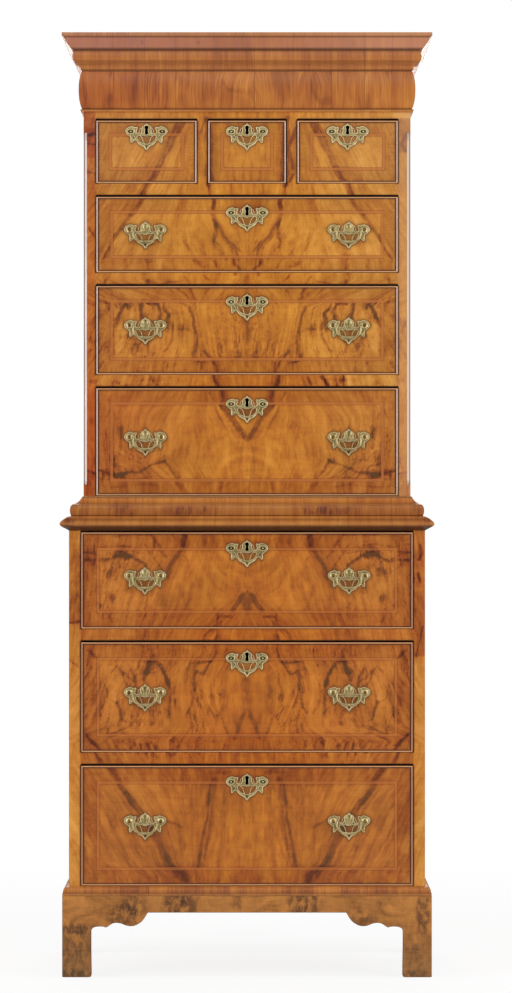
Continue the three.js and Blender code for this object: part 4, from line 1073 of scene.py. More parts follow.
# cracks and joints as streaks, and patches as (left, right, bottom, top, tone, warmth)
caseMarks = dict(
    lines=[
        (1.4, 1.4, 0.6, 0.8, (-356, 708), (-333, 709)), (1.4, 1.2, 0.5, 0.8, (-356, 634), (-333, 616)),
        (2.0, 1.4, 0.45, 1.0, (352, 702), (338, 640)), (5, 6, 0.4, 2.0, (346, 862), (350, 846), (344, 834)),
        (5, 4, 0.4, 2.0, (342, 806), (347, 790)), (1.0, 1.0, 0.5, 0.6, (194, 1180), (194, 1205)),
        (7, 6, 0.4, 2.5, (150, 1200), (162, 1184)), (5, 6, 0.35, 2.5, (122, 1198), (128, 1186)),
        (4, 3, 0.4, 2.0, (-318, 1500), (-306, 1482)), (5, 6, 0.4, 2.5, (-322, 1684), (-304, 1688)),
        (2, 2, 0.45, 1.5, (-322, 1668), (-304, 1666)), (2, 2, 0.4, 1.5, (-322, 1612), (-304, 1608)),
        (5, 7, 0.5, 2.5, (320, 1688), (310, 1668), (318, 1654)), (3, 3, 0.35, 1.5, (318, 1310), (310, 1290)),
        (6, 8, 0.35, 3.0, (98, 1700), (84, 1660), (92, 1620)), (5, 5, 0.4, 2.0, (92, 1606), (86, 1592)),
        (3, 4, 0.3, 2.0, (-84, 1716), (-94, 1690)),
    ],
    patches=[
        (292, 334, 1719.5, 1729.5, -0.3, -0.3), (-330, -304, 1640, 1735, 0.1, 0.6),
        (304, 330, 1650, 1717, 0.12, 0.3), (-356, -333, 180, 705, -0.2, -0.3),
        (333, 356, 180, 640, -0.2, -0.3), (-356, -333, 716, 892, 0.05, -0.3),
        (196, 300, 1180, 1206, -0.1, -0.2), (-60, 194, 1180, 1206, 0.04, 0.15),
        (-328, -304, 961, 1700, 0.0, 0.46), (304, 328, 961, 1700, -0.03, 0.1),
    ],
)


def stripPart(rectangle, faceY):
    # a thin closed sheet: a grid for its face, and walls back from the grid's border
    left, right, low, high = rectangle
    columns, rows = spread(left, right, caseFront['cell']), spread(low, high, caseFront['cell'])
    z, x = np.meshgrid(rows, columns, indexing='ij')
    face = joined(x, faceY - caseFront['thickness'], z).reshape(-1, 3)
    border = borderOf(len(rows), len(columns))
    rim = len(face) + np.arange(len(border))
    walls = joined(border, rim, np.roll(rim, -1), np.roll(border, -1))
    points = np.concatenate([face, face[border] + [0, caseFront['thickness'], 0]])
    return points, [gridFaces(len(rows), len(columns)), walls, rim[None, ::-1]]


def makeVeneerStrips(name, rectangles, faceY):
    # the sheets over the front edges of one case's boards, with their marks and painted shade round its
    # drawers' openings
    points, faces = gather([stripPart(rectangle, faceY) for rectangle in rectangles])
    x, z = points[:, 0], points[:, 2]
    values = veneerTone(x, z, caseFront['slip'])
    tone, warmth, dirtShade = values['veneer'].T
    for mark in caseMarks['lines']:
        tone += streakTone(x, z, mark)
    for left, right, low, high, darker, warmer in caseMarks['patches']:
        inside = between(x, left, right, 2) * between(z, low, high, 2)
        tone += inside * darker
        warmth[:] = np.clip(warmth + inside * warmer, 0, 1)
        dirtShade -= inside * (darker < -0.25) * (0.6 + 0.3 * layered(x / 9, z / 3, 83))
    for drawer in drawers:
        low, high = corners(f'{drawer}_front')
        if low[2] > z.max() or high[2] < z.min():
            continue
        # painted shade in the gaps beside and above each drawer
        beside = np.maximum(low[0] - x, x - high[0])
        level = (z > low[2] - 1) * (z < high[2] + 1) * (beside > -3)
        above = (z > high[2] - 1) * (beside < 1)
        dirtShade[:] = np.maximum(dirtShade, (1 - ease(beside, 1.8, caseFront['shadedEdge'])) * level)
        dirtShade[:] = np.maximum(dirtShade, 1.1 * (1 - ease(z - high[2], 3.2, 6.2)) * above)
    return settle(makePiece(name, points, faces, [caseVeneer], onPoints=values), 'case', 'walnut_veneer')


def caseStrips(label):
    # rails from each divider's box, stiles from the sides, as (left, right, bottom, top)
    shape = caseFront
    left, right = corners(f'{label}_side_left'), corners(f'{label}_side_right')
    bottom, ceiling = left[0][2], left[1][2]
    strips = []
    for node in [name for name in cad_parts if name.startswith(f'{label}_divider')]:
        low, high = corners(node)
        topRail = node == 'upper_divider_1'
        top = low[2] + shape['railHeight'] if topRail else high[2]
        strips.append((left[1][0], right[0][0], low[2], top))
        if topRail:
            half = shape['partitionHalf']
            strips += [(middle - half, middle + half, top, corners('upper_top_board')[0][2])
                       for middle in (-shape['partition'], shape['partition'])]
    stiles = ((left[1][0], left[0][0], shape['cant']), (right[0][0], right[1][0], -shape['cant']))
    if label == 'lower':
        strips += [(*sorted(stile[:2]), bottom, ceiling) for stile in stiles]
    else:
        floor = corners('upper_bottom_board')[1][2]
        lowEnd, highEnd = floor + shape['cantLow'] - shape['footLap'], ceiling - shape['cantHigh']
        for inner, outer, cut in stiles:
            strips.append((*sorted((inner, outer)), floor, lowEnd))
            strips.append((*sorted((inner, outer + cut)), lowEnd, highEnd))
            strips.append((*sorted((inner, outer)), highEnd, ceiling))
        low, high = corners('upper_top_board')
        strips.append((left[0][0], right[1][0], low[2], high[2] - shape['topGap']))
    return strips


for case in ('lower', 'upper'):
    makeVeneerStrips(f'{case}_case_veneer', caseStrips(case), corners(f'{case}_side_left')[0][1])
print('case veneers done')


# profiles of the mouldings in shares of (projection, height), and where their lengths meet: a range for
# the lengths at the sides, and the joints at the front
mouldingSteps = 5
mouldingGap = 0.3
corniceShape = dict(
    projection=42.0, height=155.0, ground=20.0,
    frieze=[(0.06, 0.035), (0.083, 0.042), (0.143, 0.084), (0.202, 0.161), (0.226, 0.258), (0.221, 0.342),
            (0.19, 0.419), (0.131, 0.484), (0.083, 0.523)],
    foot=[(0.131, 0.003), (0.155, 0.016), (0.131, 0.029)],
    neck=[(0.095, 0.532), (0.143, 0.545), (0.155, 0.568)],
    fillet=[(0.238, 0.606), (0.393, 0.626), (0.405, 0.639)],
    torus=[(0.44, 0.642), (0.495, 0.665), (0.512, 0.703), (0.495, 0.742), (0.452, 0.774)],
    crown=[(0.464, 0.79), (0.524, 0.794), (0.583, 0.806), (0.679, 0.839), (0.786, 0.877), (0.869, 0.913),
           (0.929, 0.945)],
    top=[(1.0, 0.955), (1.0, 1.0)],
    lengths=dict(side=(70, 110), front=[-268, -205, -144, -66, 15, 92, 170, 236, 290]),
)
waistShape = dict(
    nose=18.0, setback=28.0, height=68.0,
    noseShares=[(0.054, 0.008), (0.389, 0.059), (0.75, 0.11), (0.944, 0.154), (1.0, 0.206), (0.89, 0.257),
                (0.64, 0.316), (0.323, 0.375), (0.001, 0.419)],
    torusShares=[(0.858, 0.434), (0.91, 0.485), (0.94, 0.574), (0.928, 0.647), (0.876, 0.721),
                 (0.803, 0.743)],
    coveShares=[(0.785, 0.765), (0.608, 0.787), (0.411, 0.831), (0.25, 0.89), (0.143, 0.956), (0.089, 1.0)],
    lengths=dict(side=(80, 130), front=[-300, -210, -64, 6, 98, 202, 290]),
)
baseShape = dict(
    projection=13.0, height=18.0,
    shares=[(1.0, 0.2), (0.9, 0.32), (0.88, 0.5), (0.8, 0.68), (0.62, 0.84), (0.3, 0.96), (0.12, 1.0)],
    lengths=dict(side=(60, 110), front=[-310, -252, -196, -150, -88, -36, 20, 70, 132, 190, 240, 300]),
)


def profileSpots(shares, width, height, floor, shift=0.0, smooth=True):
    # shares of a profile in millimetres, with a curve through them where it is smooth
    spots = [(shift + out * width, floor + up * height) for out, up in shares]
    return [tuple(spot) for spot in throughPoints(spots, mouldingSteps)] if smooth else spots


def bendOf(profile, travelled):
    # relief of the profile: how far a point lies inside or outside the line through its neighbours
    arcs = np.concatenate([travelled[:-1] + way * travelled[-1] for way in (-1, 0, 1)])
    again = np.concatenate([profile] * 3)
    chords = []
    for reach in (2.5, 5.0):
        before, after = (
            joined(*(np.interp(travelled[:-1] + way * reach, arcs, line) for line in again.T))
            for way in (-1, 1))
        middle, tangent = (before + after) / 2 - profile, after - before
        tangent /= np.maximum(np.linalg.norm(tangent, axis=1)[:, None], 1e-6)
        chords.append((middle[:, 0] * tangent[:, 1] - middle[:, 1] * tangent[:, 0]) / reach)
    return (chords[0] + chords[1]) / 2


def runMoulding(name, case, profile, backY, lengths, materials, nodes=(), kindOf=None, seed=1):
    # A closed profile of (out, up) carried along one side of a case, the front and the other side, with
    # mitres, in short lengths whose ends are rings of points
    low, high = corners(f'{case}_side_right')
    halfWidth, frontY = high[0], low[1]
    profile = np.array(profile, float)
    out, up = profile.T
    rng = np.random.default_rng(seed)
    # the lengths of the sides are stretched so that the last one ends at the mitre
    joints = [backY]
    while joints[-1] > frontY + 60:
        joints.append(joints[-1] - rng.uniform(*lengths['side']))
    joints = np.array(joints)
    joints = backY - (backY - joints) * (backY - frontY + out.max()) / (backY - joints[-1])
    joints = joints[:-1][joints[:-1] > frontY + 4]
    side = [joined(-halfWidth - out, np.maximum(at, frontY - out), up) for at in joints]
    side.append(joined(-halfWidth - out, frontY - out, up))
    front = [joined(np.clip(at, -halfWidth - out, halfWidth + out), frontY - out, up)
             for at in lengths['front']]
    points = np.array(side + front + [ring * [-1, 1, 1] for ring in side[::-1]])
    rings, count = points.shape[:2]
    points = points.reshape(-1, 3)
    faces = gridFaces(rings, count, closed=True)
    spots = points[faces]
    number = np.repeat(np.arange(rings - 1), count)
    onFront = (number >= len(joints)) & (number <= len(joints) + len(front))
    along = np.where(onFront[:, None], spots[:, :, 0], spots[:, :, 1])
    # the way round the profile, whose last face ends at its full length
    step = np.linalg.norm(np.diff(np.concatenate([profile, profile[:1]]), axis=0), axis=1)
    travelled = np.concatenate([[0], np.cumsum(step)])
    column = faces % count
    column = np.where((column == 0) & (faces[:, :1] % count == count - 1), count, column)
    bend = bendOf(profile, travelled)
    bend = np.append(bend, bend[0])[column]
    chance = rng.random(rings - 1)[number]
    onCorners = dict(
        run=joined(along, travelled[column], number[:, None] * 13.7),
        sheet=joined(np.abs(along - along[:, :1]), np.abs(along - along[:, 2:3]), chance[:, None]),
        relief=joined(ease(bend, 0.12, 0.5), ease(-bend, 0.1, 0.45), 0))
    atEnds = dict(run=[0, 0, 0], sheet=[9, 9, 0.5], relief=[0, 0, 0])
    onCorners = {label: np.concatenate([values.reshape(-1, 3), np.tile(atEnds[label], (2 * count, 1))])
                 for label, values in onCorners.items()}
    ends = [np.arange(count)[None, ::-1], (rings - 1) * count + np.arange(count)[None]]
    kinds = np.concatenate([kindOf(spots[:, :, 2].mean(1)), [0, 0]]) if kindOf else None
    made = makePiece(name, points, [faces, *ends], materials, kinds, onCorners=onCorners, sharp=38)
    return settle(made, 'case', 'walnut_moulding', *nodes)


def makeCornice():
    # cornice, frieze and their ground down to the upper case's top board
    low, high = corners('cornice')
    shape, foot, top = corniceShape, low[2], high[2]
    seat = corners('upper_top_board')[1][2] + mouldingGap
    profile = [(mouldingGap, foot)]
    for part in ('foot', 'frieze', 'neck', 'fillet', 'torus', 'crown', 'top'):
        smooth = part in ('frieze', 'torus', 'crown')
        profile += profileSpots(shape[part], shape['projection'], shape['height'], foot, smooth=smooth)
    profile += [(-shape['ground'], top), (-shape['ground'], seat), (mouldingGap, seat)]
    friezeFoot, friezeTop = (foot + shape['frieze'][end][1] * shape['height'] for end in (0, -1))

    def kindOf(height):
        # 0 cornice, 1 frieze, 2 the pine on top
        return ((height > friezeFoot) & (height < friezeTop)) + 2 * (height > top - 0.5)

    materials = [corniceWalnut, friezeWalnut, pineAcross]
    runMoulding('cornice_moulding', 'upper', profile, high[1], shape['lengths'], materials, ['cornice'],
                kindOf, seed=4)


def makeWaist():
    # nose on the lower case, torus and cove up to the upper one
    low, high = corners('waist_moulding')
    shape, floor = waistShape, low[2]
    setback, height = shape['setback'], shape['height']
    seat = corners('lower_top_board')[1][2] + mouldingGap
    profile = [(setback + mouldingGap, floor)]
    profile += profileSpots(shape['noseShares'], shape['nose'], height, floor, setback)
    profile += profileSpots(shape['torusShares'], setback, height, floor)
    profile += profileSpots(shape['coveShares'], setback, height, floor)
    profile += [(mouldingGap, floor + height), (mouldingGap, seat), (setback + mouldingGap, seat)]
    runMoulding('waist_moulding_run', 'upper', profile, high[1], shape['lengths'], [waistWalnut],
                ['waist_moulding'], seed=8)


makeCornice()
makeWaist()
print('mouldings done')


boxQuads = np.array([[0, 2, 3, 1], [4, 5, 7, 6], [0, 1, 5, 4], [2, 6, 7, 3], [0, 4, 6, 2], [1, 3, 7, 5]])


def boardPart(low, high, along=None):
    # a board's eight corners and six faces, and where its grain runs: (along, across, through)
    low, high = np.array(low, float), np.array(high, float)
    pick = np.array([[i >> 2 & 1, i >> 1 & 1, i & 1] for i in range(8)])
    points = low + pick * (high - low)
    order = np.argsort(low - high) if along is None else [along] + [i for i in range(3) if i != along]
    return points, [boxQuads], points[:, order]


def planksOf(low, high, axis, joints, grain):
    # a board cut across one axis at these shares of its width
    marks = low[axis] + np.array([0, *joints, 1]) * (high[axis] - low[axis])
    planks = []
    for start, end in zip(marks[:-1], marks[1:]):
        first, last = np.array(low, float), np.array(high, float)
        first[axis], last[axis] = start, end
        planks.append((first, last, grain))
    return planks


def makeBoards(name, boards, material, body, slot, *nodes, bevel, seed, edge=None):
    # boards listed as (lowest corner, highest corner, grain axis), each from another plank
    rng = np.random.default_rng(seed)
    parts = [boardPart(*board) for board in boards]
    planks = np.concatenate([grain + rng.uniform(0, 900, 3) for points, faces, grain in parts])
    points, faces = gather([part[:2] for part in parts])
    materials = [material, edge] if edge else [material]
    made = turnOutwards(makePiece(name, points, faces, materials, onPoints={'plank': planks}, sharp=30))
    softenEdges(made, bevel, len(materials) - 1)
    return settle(made, body, slot, *nodes)


plinthShape = dict(
    plank=18.0, height=162.7, apron=129.0, bracket=171.0, block=38.0, rearBlock=19.5, rail=20.0,
    glueGap=0.2, railGap=0.3, endGap=0.4, backGap=0.5,
    # the foot and the arch beside it, in shares of (bracket, apron) from the end of a board
    foot=[(0, 0.05), (0.006, 0.018), (0.022, 0), (0.322, 0), (0.338, 0.016), (0.342, 0.05), (0.336, 0.6)],
    curl=[(0.336, 0.64), (0.338, 0.71), (0.352, 0.755), (0.39, 0.779), (0.44, 0.785), (0.485, 0.781),
          (0.506, 0.768)],
    scroll=[(0.506, 0.768), (0.537, 0.787), (0.581, 0.827), (0.626, 0.841), (0.685, 0.832), (0.745, 0.801),
            (0.805, 0.79), (0.864, 0.807), (0.924, 0.857), (0.961, 0.916), (1, 1)],
)


def plinthOutline(half):
    # outline of one plinth board with a bracket foot at each end, from its middle outwards
    shape = plinthShape
    foot = np.array(shape['foot'], float)
    curve = np.concatenate([foot, throughPoints(shape['curl'], 4), throughPoints(shape['scroll'], 4)[1:]])
    spots = joined(half - curve[:, 0] * shape['bracket'], curve[:, 1] * shape['apron'])
    top = np.array([[half, shape['height']], [-half, shape['height']]])
    return np.concatenate([spots * [-1, 1], spots[::-1], top])


def plinthBoard(half, place, mitred=(True, True)):
    # an outline carried back by the thickness of the board, its ends at the front corners mitred
    outline, plank = plinthOutline(half), plinthShape['plank']
    across = outline[:, 0]
    atMitre = np.isclose(np.abs(across), half) & np.where(across < 0, *mitred)
    inner = across - atMitre * np.sign(across) * plank
    return solidBetween(place(across, 0, outline[:, 1]), place(inner, plank, outline[:, 1]))


# tones of the plinth, and its patches as (middle, height, half width, half height, darkness)
plinthTones = dict(pale=colour(206, 140, 68), middle=colour(176, 116, 56), brown=colour(124, 80, 42),
                   dark=colour(76, 50, 30), olive=colour(150, 132, 84))
plinthPatches = [
    (-250, 122, 34, 26, 0.42), (-225, 144, 30, 22, 0.3), (-133, 146, 38, 32, 0.5), (116, 146, 34, 32, 0.5),
    (352, 130, 14, 40, 0.5), (-345, 50, 38, 70, 0.34), (-20, 150, 10, 24, 0.25), (-330, 96, 40, 10, 0.3),
    (338, 40, 34, 60, 0.2), (-345, 8, 40, 10, 0.3), (338, 6, 40, 8, 0.3), (225, 118, 40, 20, 0.25),
]


def makePlinthWalnut(name):
    # golden brown with clouds, faint lines along the grain and dark patches of curled figure
    material, wire = newMaterial(name)
    here = wire.place()
    x, z = here.parts()[::2]
    cloud = here.noise(0.014, 0.014, 0.026, detail=4.0, rough=0.6, twist=1.2)
    lines = here.noise(0.02, 0.02, 0.3, detail=4.0, rough=0.6, twist=0.2)
    curls = here.noise(0.1, 0.1, 0.05, detail=4.0, rough=0.6, twist=0.5)
    speck = here.noise(0.5, 0.5, 0.7)
    tone = 0.36 + (cloud - 0.5) * 0.9 + (lines - 0.5) * 0.34 + (curls - 0.5) * 0.4 + (speck - 0.5) * 0.2
    for middle, height, wide, tall, dark in plinthPatches:
        away = ((x - middle) / wide).math('POWER', 2.0) + ((z - height) / tall).math('POWER', 2.0)
        away = away + (cloud - 0.5) * 1.5
        tone = tone + (1 - away.ease(0.1, 1.6)) * (curls.ease(0.34, 0.62) * 0.8 + 0.2) * dark
    stops = zip((0.0, 0.35, 0.7, 1.0), ('pale', 'middle', 'brown', 'dark'))
    tint = tone.ramp(*[(place, plinthTones[label]) for place, label in stops])
    dull = (1 - z.ease(60, 150)) * 0.3 + cloud.ease(0.5, 0.75) * 0.3
    tint = tint.mix(dull, plinthTones['olive'], 'OVERLAY')
    tint = tint.mix((1 - z.ease(10, 130)) * 0.3, colour(112, 94, 66))
    surface(wire, tint, 0.42 + (lines - 0.5) * 0.15, lines + curls * 0.3, 0.14,
            Specular_IOR_Level=0.25, Coat_Weight=0.05, Coat_Roughness=0.3)
    return material


def makePlinth():
    # the front board and the two side boards, with the feet sawn from them
    low, high = corners('bracket_base')
    halfX, halfY, middleY = high[0], (high[1] - low[1]) / 2, (high[1] + low[1]) / 2
    points, faces = gather([
        plinthBoard(halfX, lambda run, back, up: joined(run, low[1] + back, up)),
        plinthBoard(halfY, lambda run, back, up: joined(back - halfX, middleY - run, up), (False, True)),
        plinthBoard(halfY, lambda run, back, up: joined(halfX - back, middleY + run, up), (True, False)),
    ])
    materials = [makePlinthWalnut('walnut_plinth'), edgeWood]
    made = turnOutwards(makePiece('plinth_and_feet', points, faces, materials, sharp=25))
    softenEdges(made, 1.2, 1, angle=50)
    settle(made, 'case', 'walnut_moulding', 'bracket_base')


def makeFootBlocks():
    # the rail across the back, and a block inside each corner
    low, high = corners('bracket_base')
    shape = plinthShape
    plank, block, railGap, endGap = (shape[label] for label in ('plank', 'block', 'railGap', 'endGap'))
    railX = high[0] - plank - railGap
    blocks = [((-railX, high[1] - shape['rail'], shape['apron'] + endGap),
               (railX, high[1] - railGap, shape['height'] - endGap), 0)]
    outer, frontY = high[0] - plank - shape['glueGap'], low[1] + plank + shape['glueGap']
    for side in (-1, 1):
        left, right = sorted((side * outer, side * (outer - block)))
        blocks.append(((left, frontY, endGap), (right, frontY + block, shape['height'] - endGap), 2))
        left, right = sorted((side * outer, side * (outer - shape['rearBlock'])))
        blocks.append(((left, high[1] - plank - block, endGap),
                       (right, high[1] - shape['backGap'], shape['apron'] - endGap), 2))
    makeBoards('foot_blocks', blocks, pineBoard, 'case', 'pine', bevel=1.2, seed=12)


def makeBaseMoulding():
    # a small ogee on the plinth, round the foot of the lower case
    shape, high = baseShape, corners('bracket_base')[1]
    floor = plinthShape['height'] + mouldingGap
    profile = [(mouldingGap, floor), (shape['projection'] - 0.4, floor)]
    profile += profileSpots(shape['shares'], shape['projection'], shape['height'], floor)
    profile += [(mouldingGap, high[2])]
    runMoulding('base_moulding_run', 'lower', profile, high[1], shape['lengths'], [baseWalnut], seed=21)


makePlinth()
makeFootBlocks()
makeBaseMoulding()
print('base done')


# drawer linings, and their dovetails in shares of the pitch
boxShape = dict(
    lining=10.0, bottom=8.0, backDrop=8.0, gap=0.15, pitch=36.0, lap=7.0, bottomJoints=(0.3, 0.68),
    tailRoot=0.3, tailEnd=0.4, pinRoot=0.17, pinEnd=0.08, proud=0.12, sunk=0.25,
)


def slabPart(outline, axis, face, outward):
    # a flat outline in the plane across an axis, a little proud of a face and sunk into it
    proud, sunk = (np.insert(np.array(outline, float), axis, face + outward * out, axis=1)
                   for out in (boxShape['proud'], -boxShape['sunk']))
    return solidBetween(proud, sunk)


def dovetails(low, high):
    # long-grain tails at the front, end grain of the pins and tails at the back
    shape = boxShape
    count = max(2, round((high[2] - low[2]) / shape['pitch']))
    pitch = (high[2] - low[2]) / count
    frontY, lapY = low[1] + 0.2, low[1] - shape['lap']
    liningY, backY = high[1] - shape['lining'], high[1] - 0.4
    narrow, wide = pitch * shape['tailRoot'], pitch * shape['tailEnd']
    pinWide, pinNarrow = pitch * shape['pinRoot'], pitch * shape['pinEnd']
    tails, ends = [], []
    for number in range(count):
        middle = low[2] + (number + 0.5) * pitch
        pin = middle - pitch / 2
        for face, outward in ((low[0], -1), (high[0], 1)):
            tails.append(slabPart([(frontY, middle - narrow), (frontY, middle + narrow),
                                   (lapY, middle + wide), (lapY, middle - wide)], 0, face, outward))
            if number:
                ends.append(slabPart([(liningY, pin - pinWide), (liningY, pin + pinWide),
                                      (backY, pin + pinNarrow), (backY, pin - pinNarrow)], 0, face, outward))
        liningEnds = [(low[0] + 0.7, low[0] + shape['lining']), (high[0] - shape['lining'], high[0] - 0.7)]
        for start, end in liningEnds:
            ends.append(slabPart([(start, middle - wide), (end, middle - wide), (end, middle + wide),
                                  (start, middle + wide)], 1, high[1] - 0.15, 1))
    return ('tails', tails, oakDeep), ('joint_ends', ends, oakEnd)


def makeDrawerBox(drawer):
    # two sides, a lower back and a bottom of three planks, with dovetails at the front and the back
    low, high = corners(f'{drawer}_box')
    shape = boxShape
    lining, gap = shape['lining'], shape['gap']
    inLeft, inRight = low[0] + lining + gap, high[0] - lining - gap
    boards = [(low, (low[0] + lining, high[1], high[2]), 1), ((high[0] - lining, low[1], low[2]), high, 1),
              ((inLeft, high[1] - lining, low[2]), (inRight, high[1], high[2] - shape['backDrop']), 0)]
    bottom = (inRight, high[1] - lining - gap, low[2] + shape['bottom'])
    boards += planksOf((inLeft, low[1], low[2]), bottom, 1, shape['bottomJoints'], 0)
    makeBoards(f'{drawer}_linings', boards, oakBoard, drawer, 'oak', f'{drawer}_box', bevel=0.7,
               seed=40 + drawers.index(drawer))
    for label, parts, material in dovetails(low, high):
        made = turnOutwards(makePiece(f'{drawer}_{label}', *gather(parts), [material]))
        settle(made, drawer, 'oak')


for drawerName in drawers:
    makeDrawerBox(drawerName)
print('drawer boxes done')


# planks of the backs: which way they run, and as shares their joints and the places of their nails
backShape = {
    'lower_back': dict(upright=False, joints=(0.27, 0.52, 0.77), nails=(0.02, 0.98)),
    'upper_back': dict(upright=True, joints=(0.2, 0.41, 0.6, 0.8), nails=(0.015, 0.35, 0.68, 0.985)),
}
dustShape = dict(drop=8.0, thickness=12.0, joints=(0.3, 0.62), gap=0.3)
nailProfile = [(2.3, 0), (2.2, 0.35), (1.4, 0.75), (0.05, 0.85)]


def turned(profile, count=20, squash=1.0):
    # a profile of (radius, distance towards the front) turned round the y axis and closed
    profile = np.array(profile, float)
    turn = np.arange(count) / count * 2 * math.pi
    rings = joined(profile[:, :1] * np.cos(turn), -profile[:, 1:], profile[:, :1] * np.sin(turn) * squash)
    index, last = np.arange(count), (len(profile) - 1) * count
    faces = [gridFaces(len(profile), count, closed=True), index[None], last + index[None, ::-1]]
    return rings.reshape(-1, 3), faces


def moved(part, x=0.0, y=0.0, z=0.0):
    # a part is (points, faces)
    return part[0] + np.array([x, y, z]), part[1]


def flipped(part):
    # a part made to be seen from the front, turned to the back
    return part[0] * [1, -1, 1], part[1]


def makeBack(node, rng):
    # planks nailed over the back of a case, their outer faces free of the wall
    shape, upright = backShape[node], backShape[node]['upright']
    low, high = corners(node)
    high = high - [0, 1, 0]
    axis = 0 if upright else 2
    boards = planksOf(low, high, axis, shape['joints'], 2 - axis)
    nails = []
    for first, last in [board[:2] for board in boards]:
        for share in (0.18, 0.82):
            across = first[axis] + share * (last[axis] - first[axis])
            for place in shape['nails']:
                other = low[2 - axis] + place * (high[2 - axis] - low[2 - axis])
                x, z = (across, other) if upright else (other, across)
                x += rng.uniform(-3, 3) * (not upright) * (place - 0.5)
                z += rng.uniform(-1, 1) * 0.5
                nails.append(moved(flipped(turned(nailProfile, 8)), x, high[1] - 0.02, z))
    makeBoards(f'{node}_planks', boards, pineBoard, 'case', 'pine', node, bevel=1.3, seed=len(nails),
               edge=edgeWood)
    settle(turnOutwards(makePiece(f'{node}_nails', *gather(nails), [iron])), 'case', 'pine')


def makeDustBoard():
    # three boards lying in the cornice, and an upright one closing it at the back
    shape, ground, high = dustShape, corniceShape['ground'], corners('cornice')[1]
    inX = corners('upper_side_right')[1][0] - ground - shape['gap']
    startY = corners('upper_side_right')[0][1] + ground + shape['gap']
    seat, top = corners('upper_top_board')[1][2] + 0.4, high[2] - shape['drop']
    floor = top - shape['thickness']
    boards = planksOf((-inX, startY, floor), (inX, high[1], top), 1, shape['joints'], 0)
    boards.append(((-inX, high[1] - ground, seat), (inX, high[1] - 0.4, floor - 0.4), 0))
    makeBoards('cornice_dust_board', boards, pineBoard, 'case', 'pine', bevel=1.2, seed=91, edge=edgeWood)


nailChance = np.random.default_rng(77)
for backNode in backShape:
    makeBack(backNode, nailChance)
makeDustBoard()
print('backs done')


def roundHole(x, z, wide, tall=None, lean=0.0, count=14):
    # an oval of points, leaning by this many degrees
    turn = np.arange(count) / count * 2 * math.pi
    flat = joined(wide * np.cos(turn), (tall or wide) * np.sin(turn))
    angle = math.radians(lean)
    return flat @ [[math.cos(angle), math.sin(angle)], [-math.sin(angle), math.cos(angle)]] + [x, z]


def keyholeOutline():
    # round head over a narrow neck and a round foot, in millimetres from the line of the posts
    shape = plateShape
    head = (shape['keyAbove'], shape['keyHead'], 0)
    foot = (shape['keyBelow'], shape['keyFoot'], math.pi)
    arcs = []
    for middle, radius, start in (head, foot):
        lean = math.asin(shape['keyNeck'] / radius)
        turn = np.linspace(lean - math.pi / 2, 1.5 * math.pi - lean, 12) + start
        arcs.append(joined(radius * np.cos(turn), middle + radius * np.sin(turn)))
    return np.concatenate(arcs)


def pierced(outline, holes, thickness, bevel):
    # a flat curve with holes, given its thickness and rounded edges, as points and faces
    curve = bpy.data.curves.new('sheet', 'CURVE')
    curve.dimensions, curve.fill_mode = '2D', 'BOTH'
    curve.extrude, curve.bevel_depth, curve.bevel_resolution = (thickness / 2 - bevel) / 1000, bevel / 1000, 1
    curve.offset = -bevel / 1000
    for loop in (outline, *holes):
        spline = curve.splines.new('POLY')
        spline.points.add(len(loop) - 1)
        flat = joined(*loop.T / 1000, 0, 1)
        spline.points.foreach_set('co', flat.ravel())
        spline.use_cyclic_u = True
    holder = newObject('sheet', curve)
    mesh = bpy.data.meshes.new_from_object(holder.evaluated_get(bpy.context.evaluated_depsgraph_get()))
    bpy.data.objects.remove(holder)
    welded = bmesh.new()
    welded.from_mesh(mesh)
    bmesh.ops.remove_doubles(welded, verts=welded.verts, dist=2e-6)
    bmesh.ops.recalc_face_normals(welded, faces=welded.faces)
    points = np.array([vertex.co for vertex in welded.verts]) * 1000
    faces = [[vertex.index for vertex in face.verts] for face in welded.faces]
    welded.free()
    # the curve's plane becomes the plane of the drawer front, its back at y = 0
    points = joined(points[:, 0], -points[:, 2] - thickness / 2, points[:, 1])
    return points, [np.array([face]) for face in faces]


def rodRound(path, aside, radii, count, y=0.0, way=1):
    # points of a round rod along a path in the plane of the front, with this many to each ring
    turn = np.arange(count) / count * 2 * math.pi
    flat = path[:, None] + aside[:, None] * (radii[:, None] * np.cos(turn))[..., None]
    deep = y + way * radii[:, None] * np.sin(turn)
    return joined(flat[..., 0], deep, flat[..., 1]).reshape(-1, 3)


def asideOf(along):
    # unit vectors to the left of a run
    along = along / np.maximum(np.linalg.norm(along, axis=1)[:, None], 1e-6)
    return joined(-along[:, 1], along[:, 0])


def rimOf(loop, radius, inset, lift, count=6):
    # a thin rod along a closed loop, moved to the left of its run by the inset
    aside = asideOf(np.roll(loop, -1, 0) - np.roll(loop, 1, 0))
    points = rodRound(loop + aside * inset, aside, np.full(len(loop), radius), count, -lift, -1)
    index = np.arange(len(points)).reshape(len(loop), count)
    beside = np.roll(index, -1, 1)
    faces = joined(index, beside, np.roll(beside, -1, 0), np.roll(index, -1, 0))
    return points, [faces.reshape(-1, 4)]


def ringOf(x, z, radius, rod, squash, lift):
    # a round rim, or an oval one where it is squashed
    return rimOf(roundHole(x, z, radius, radius * squash, count=20), rod, 0.0, lift)


def sweep(path, radii, count=14):
    # a rod closed at both ends
    points = rodRound(path, asideOf(np.gradient(path, axis=0)), radii, count)
    index, last = np.arange(count), (len(path) - 1) * count
    return points, [gridFaces(len(path), count, closed=True), index[None, ::-1], last + index[None]]


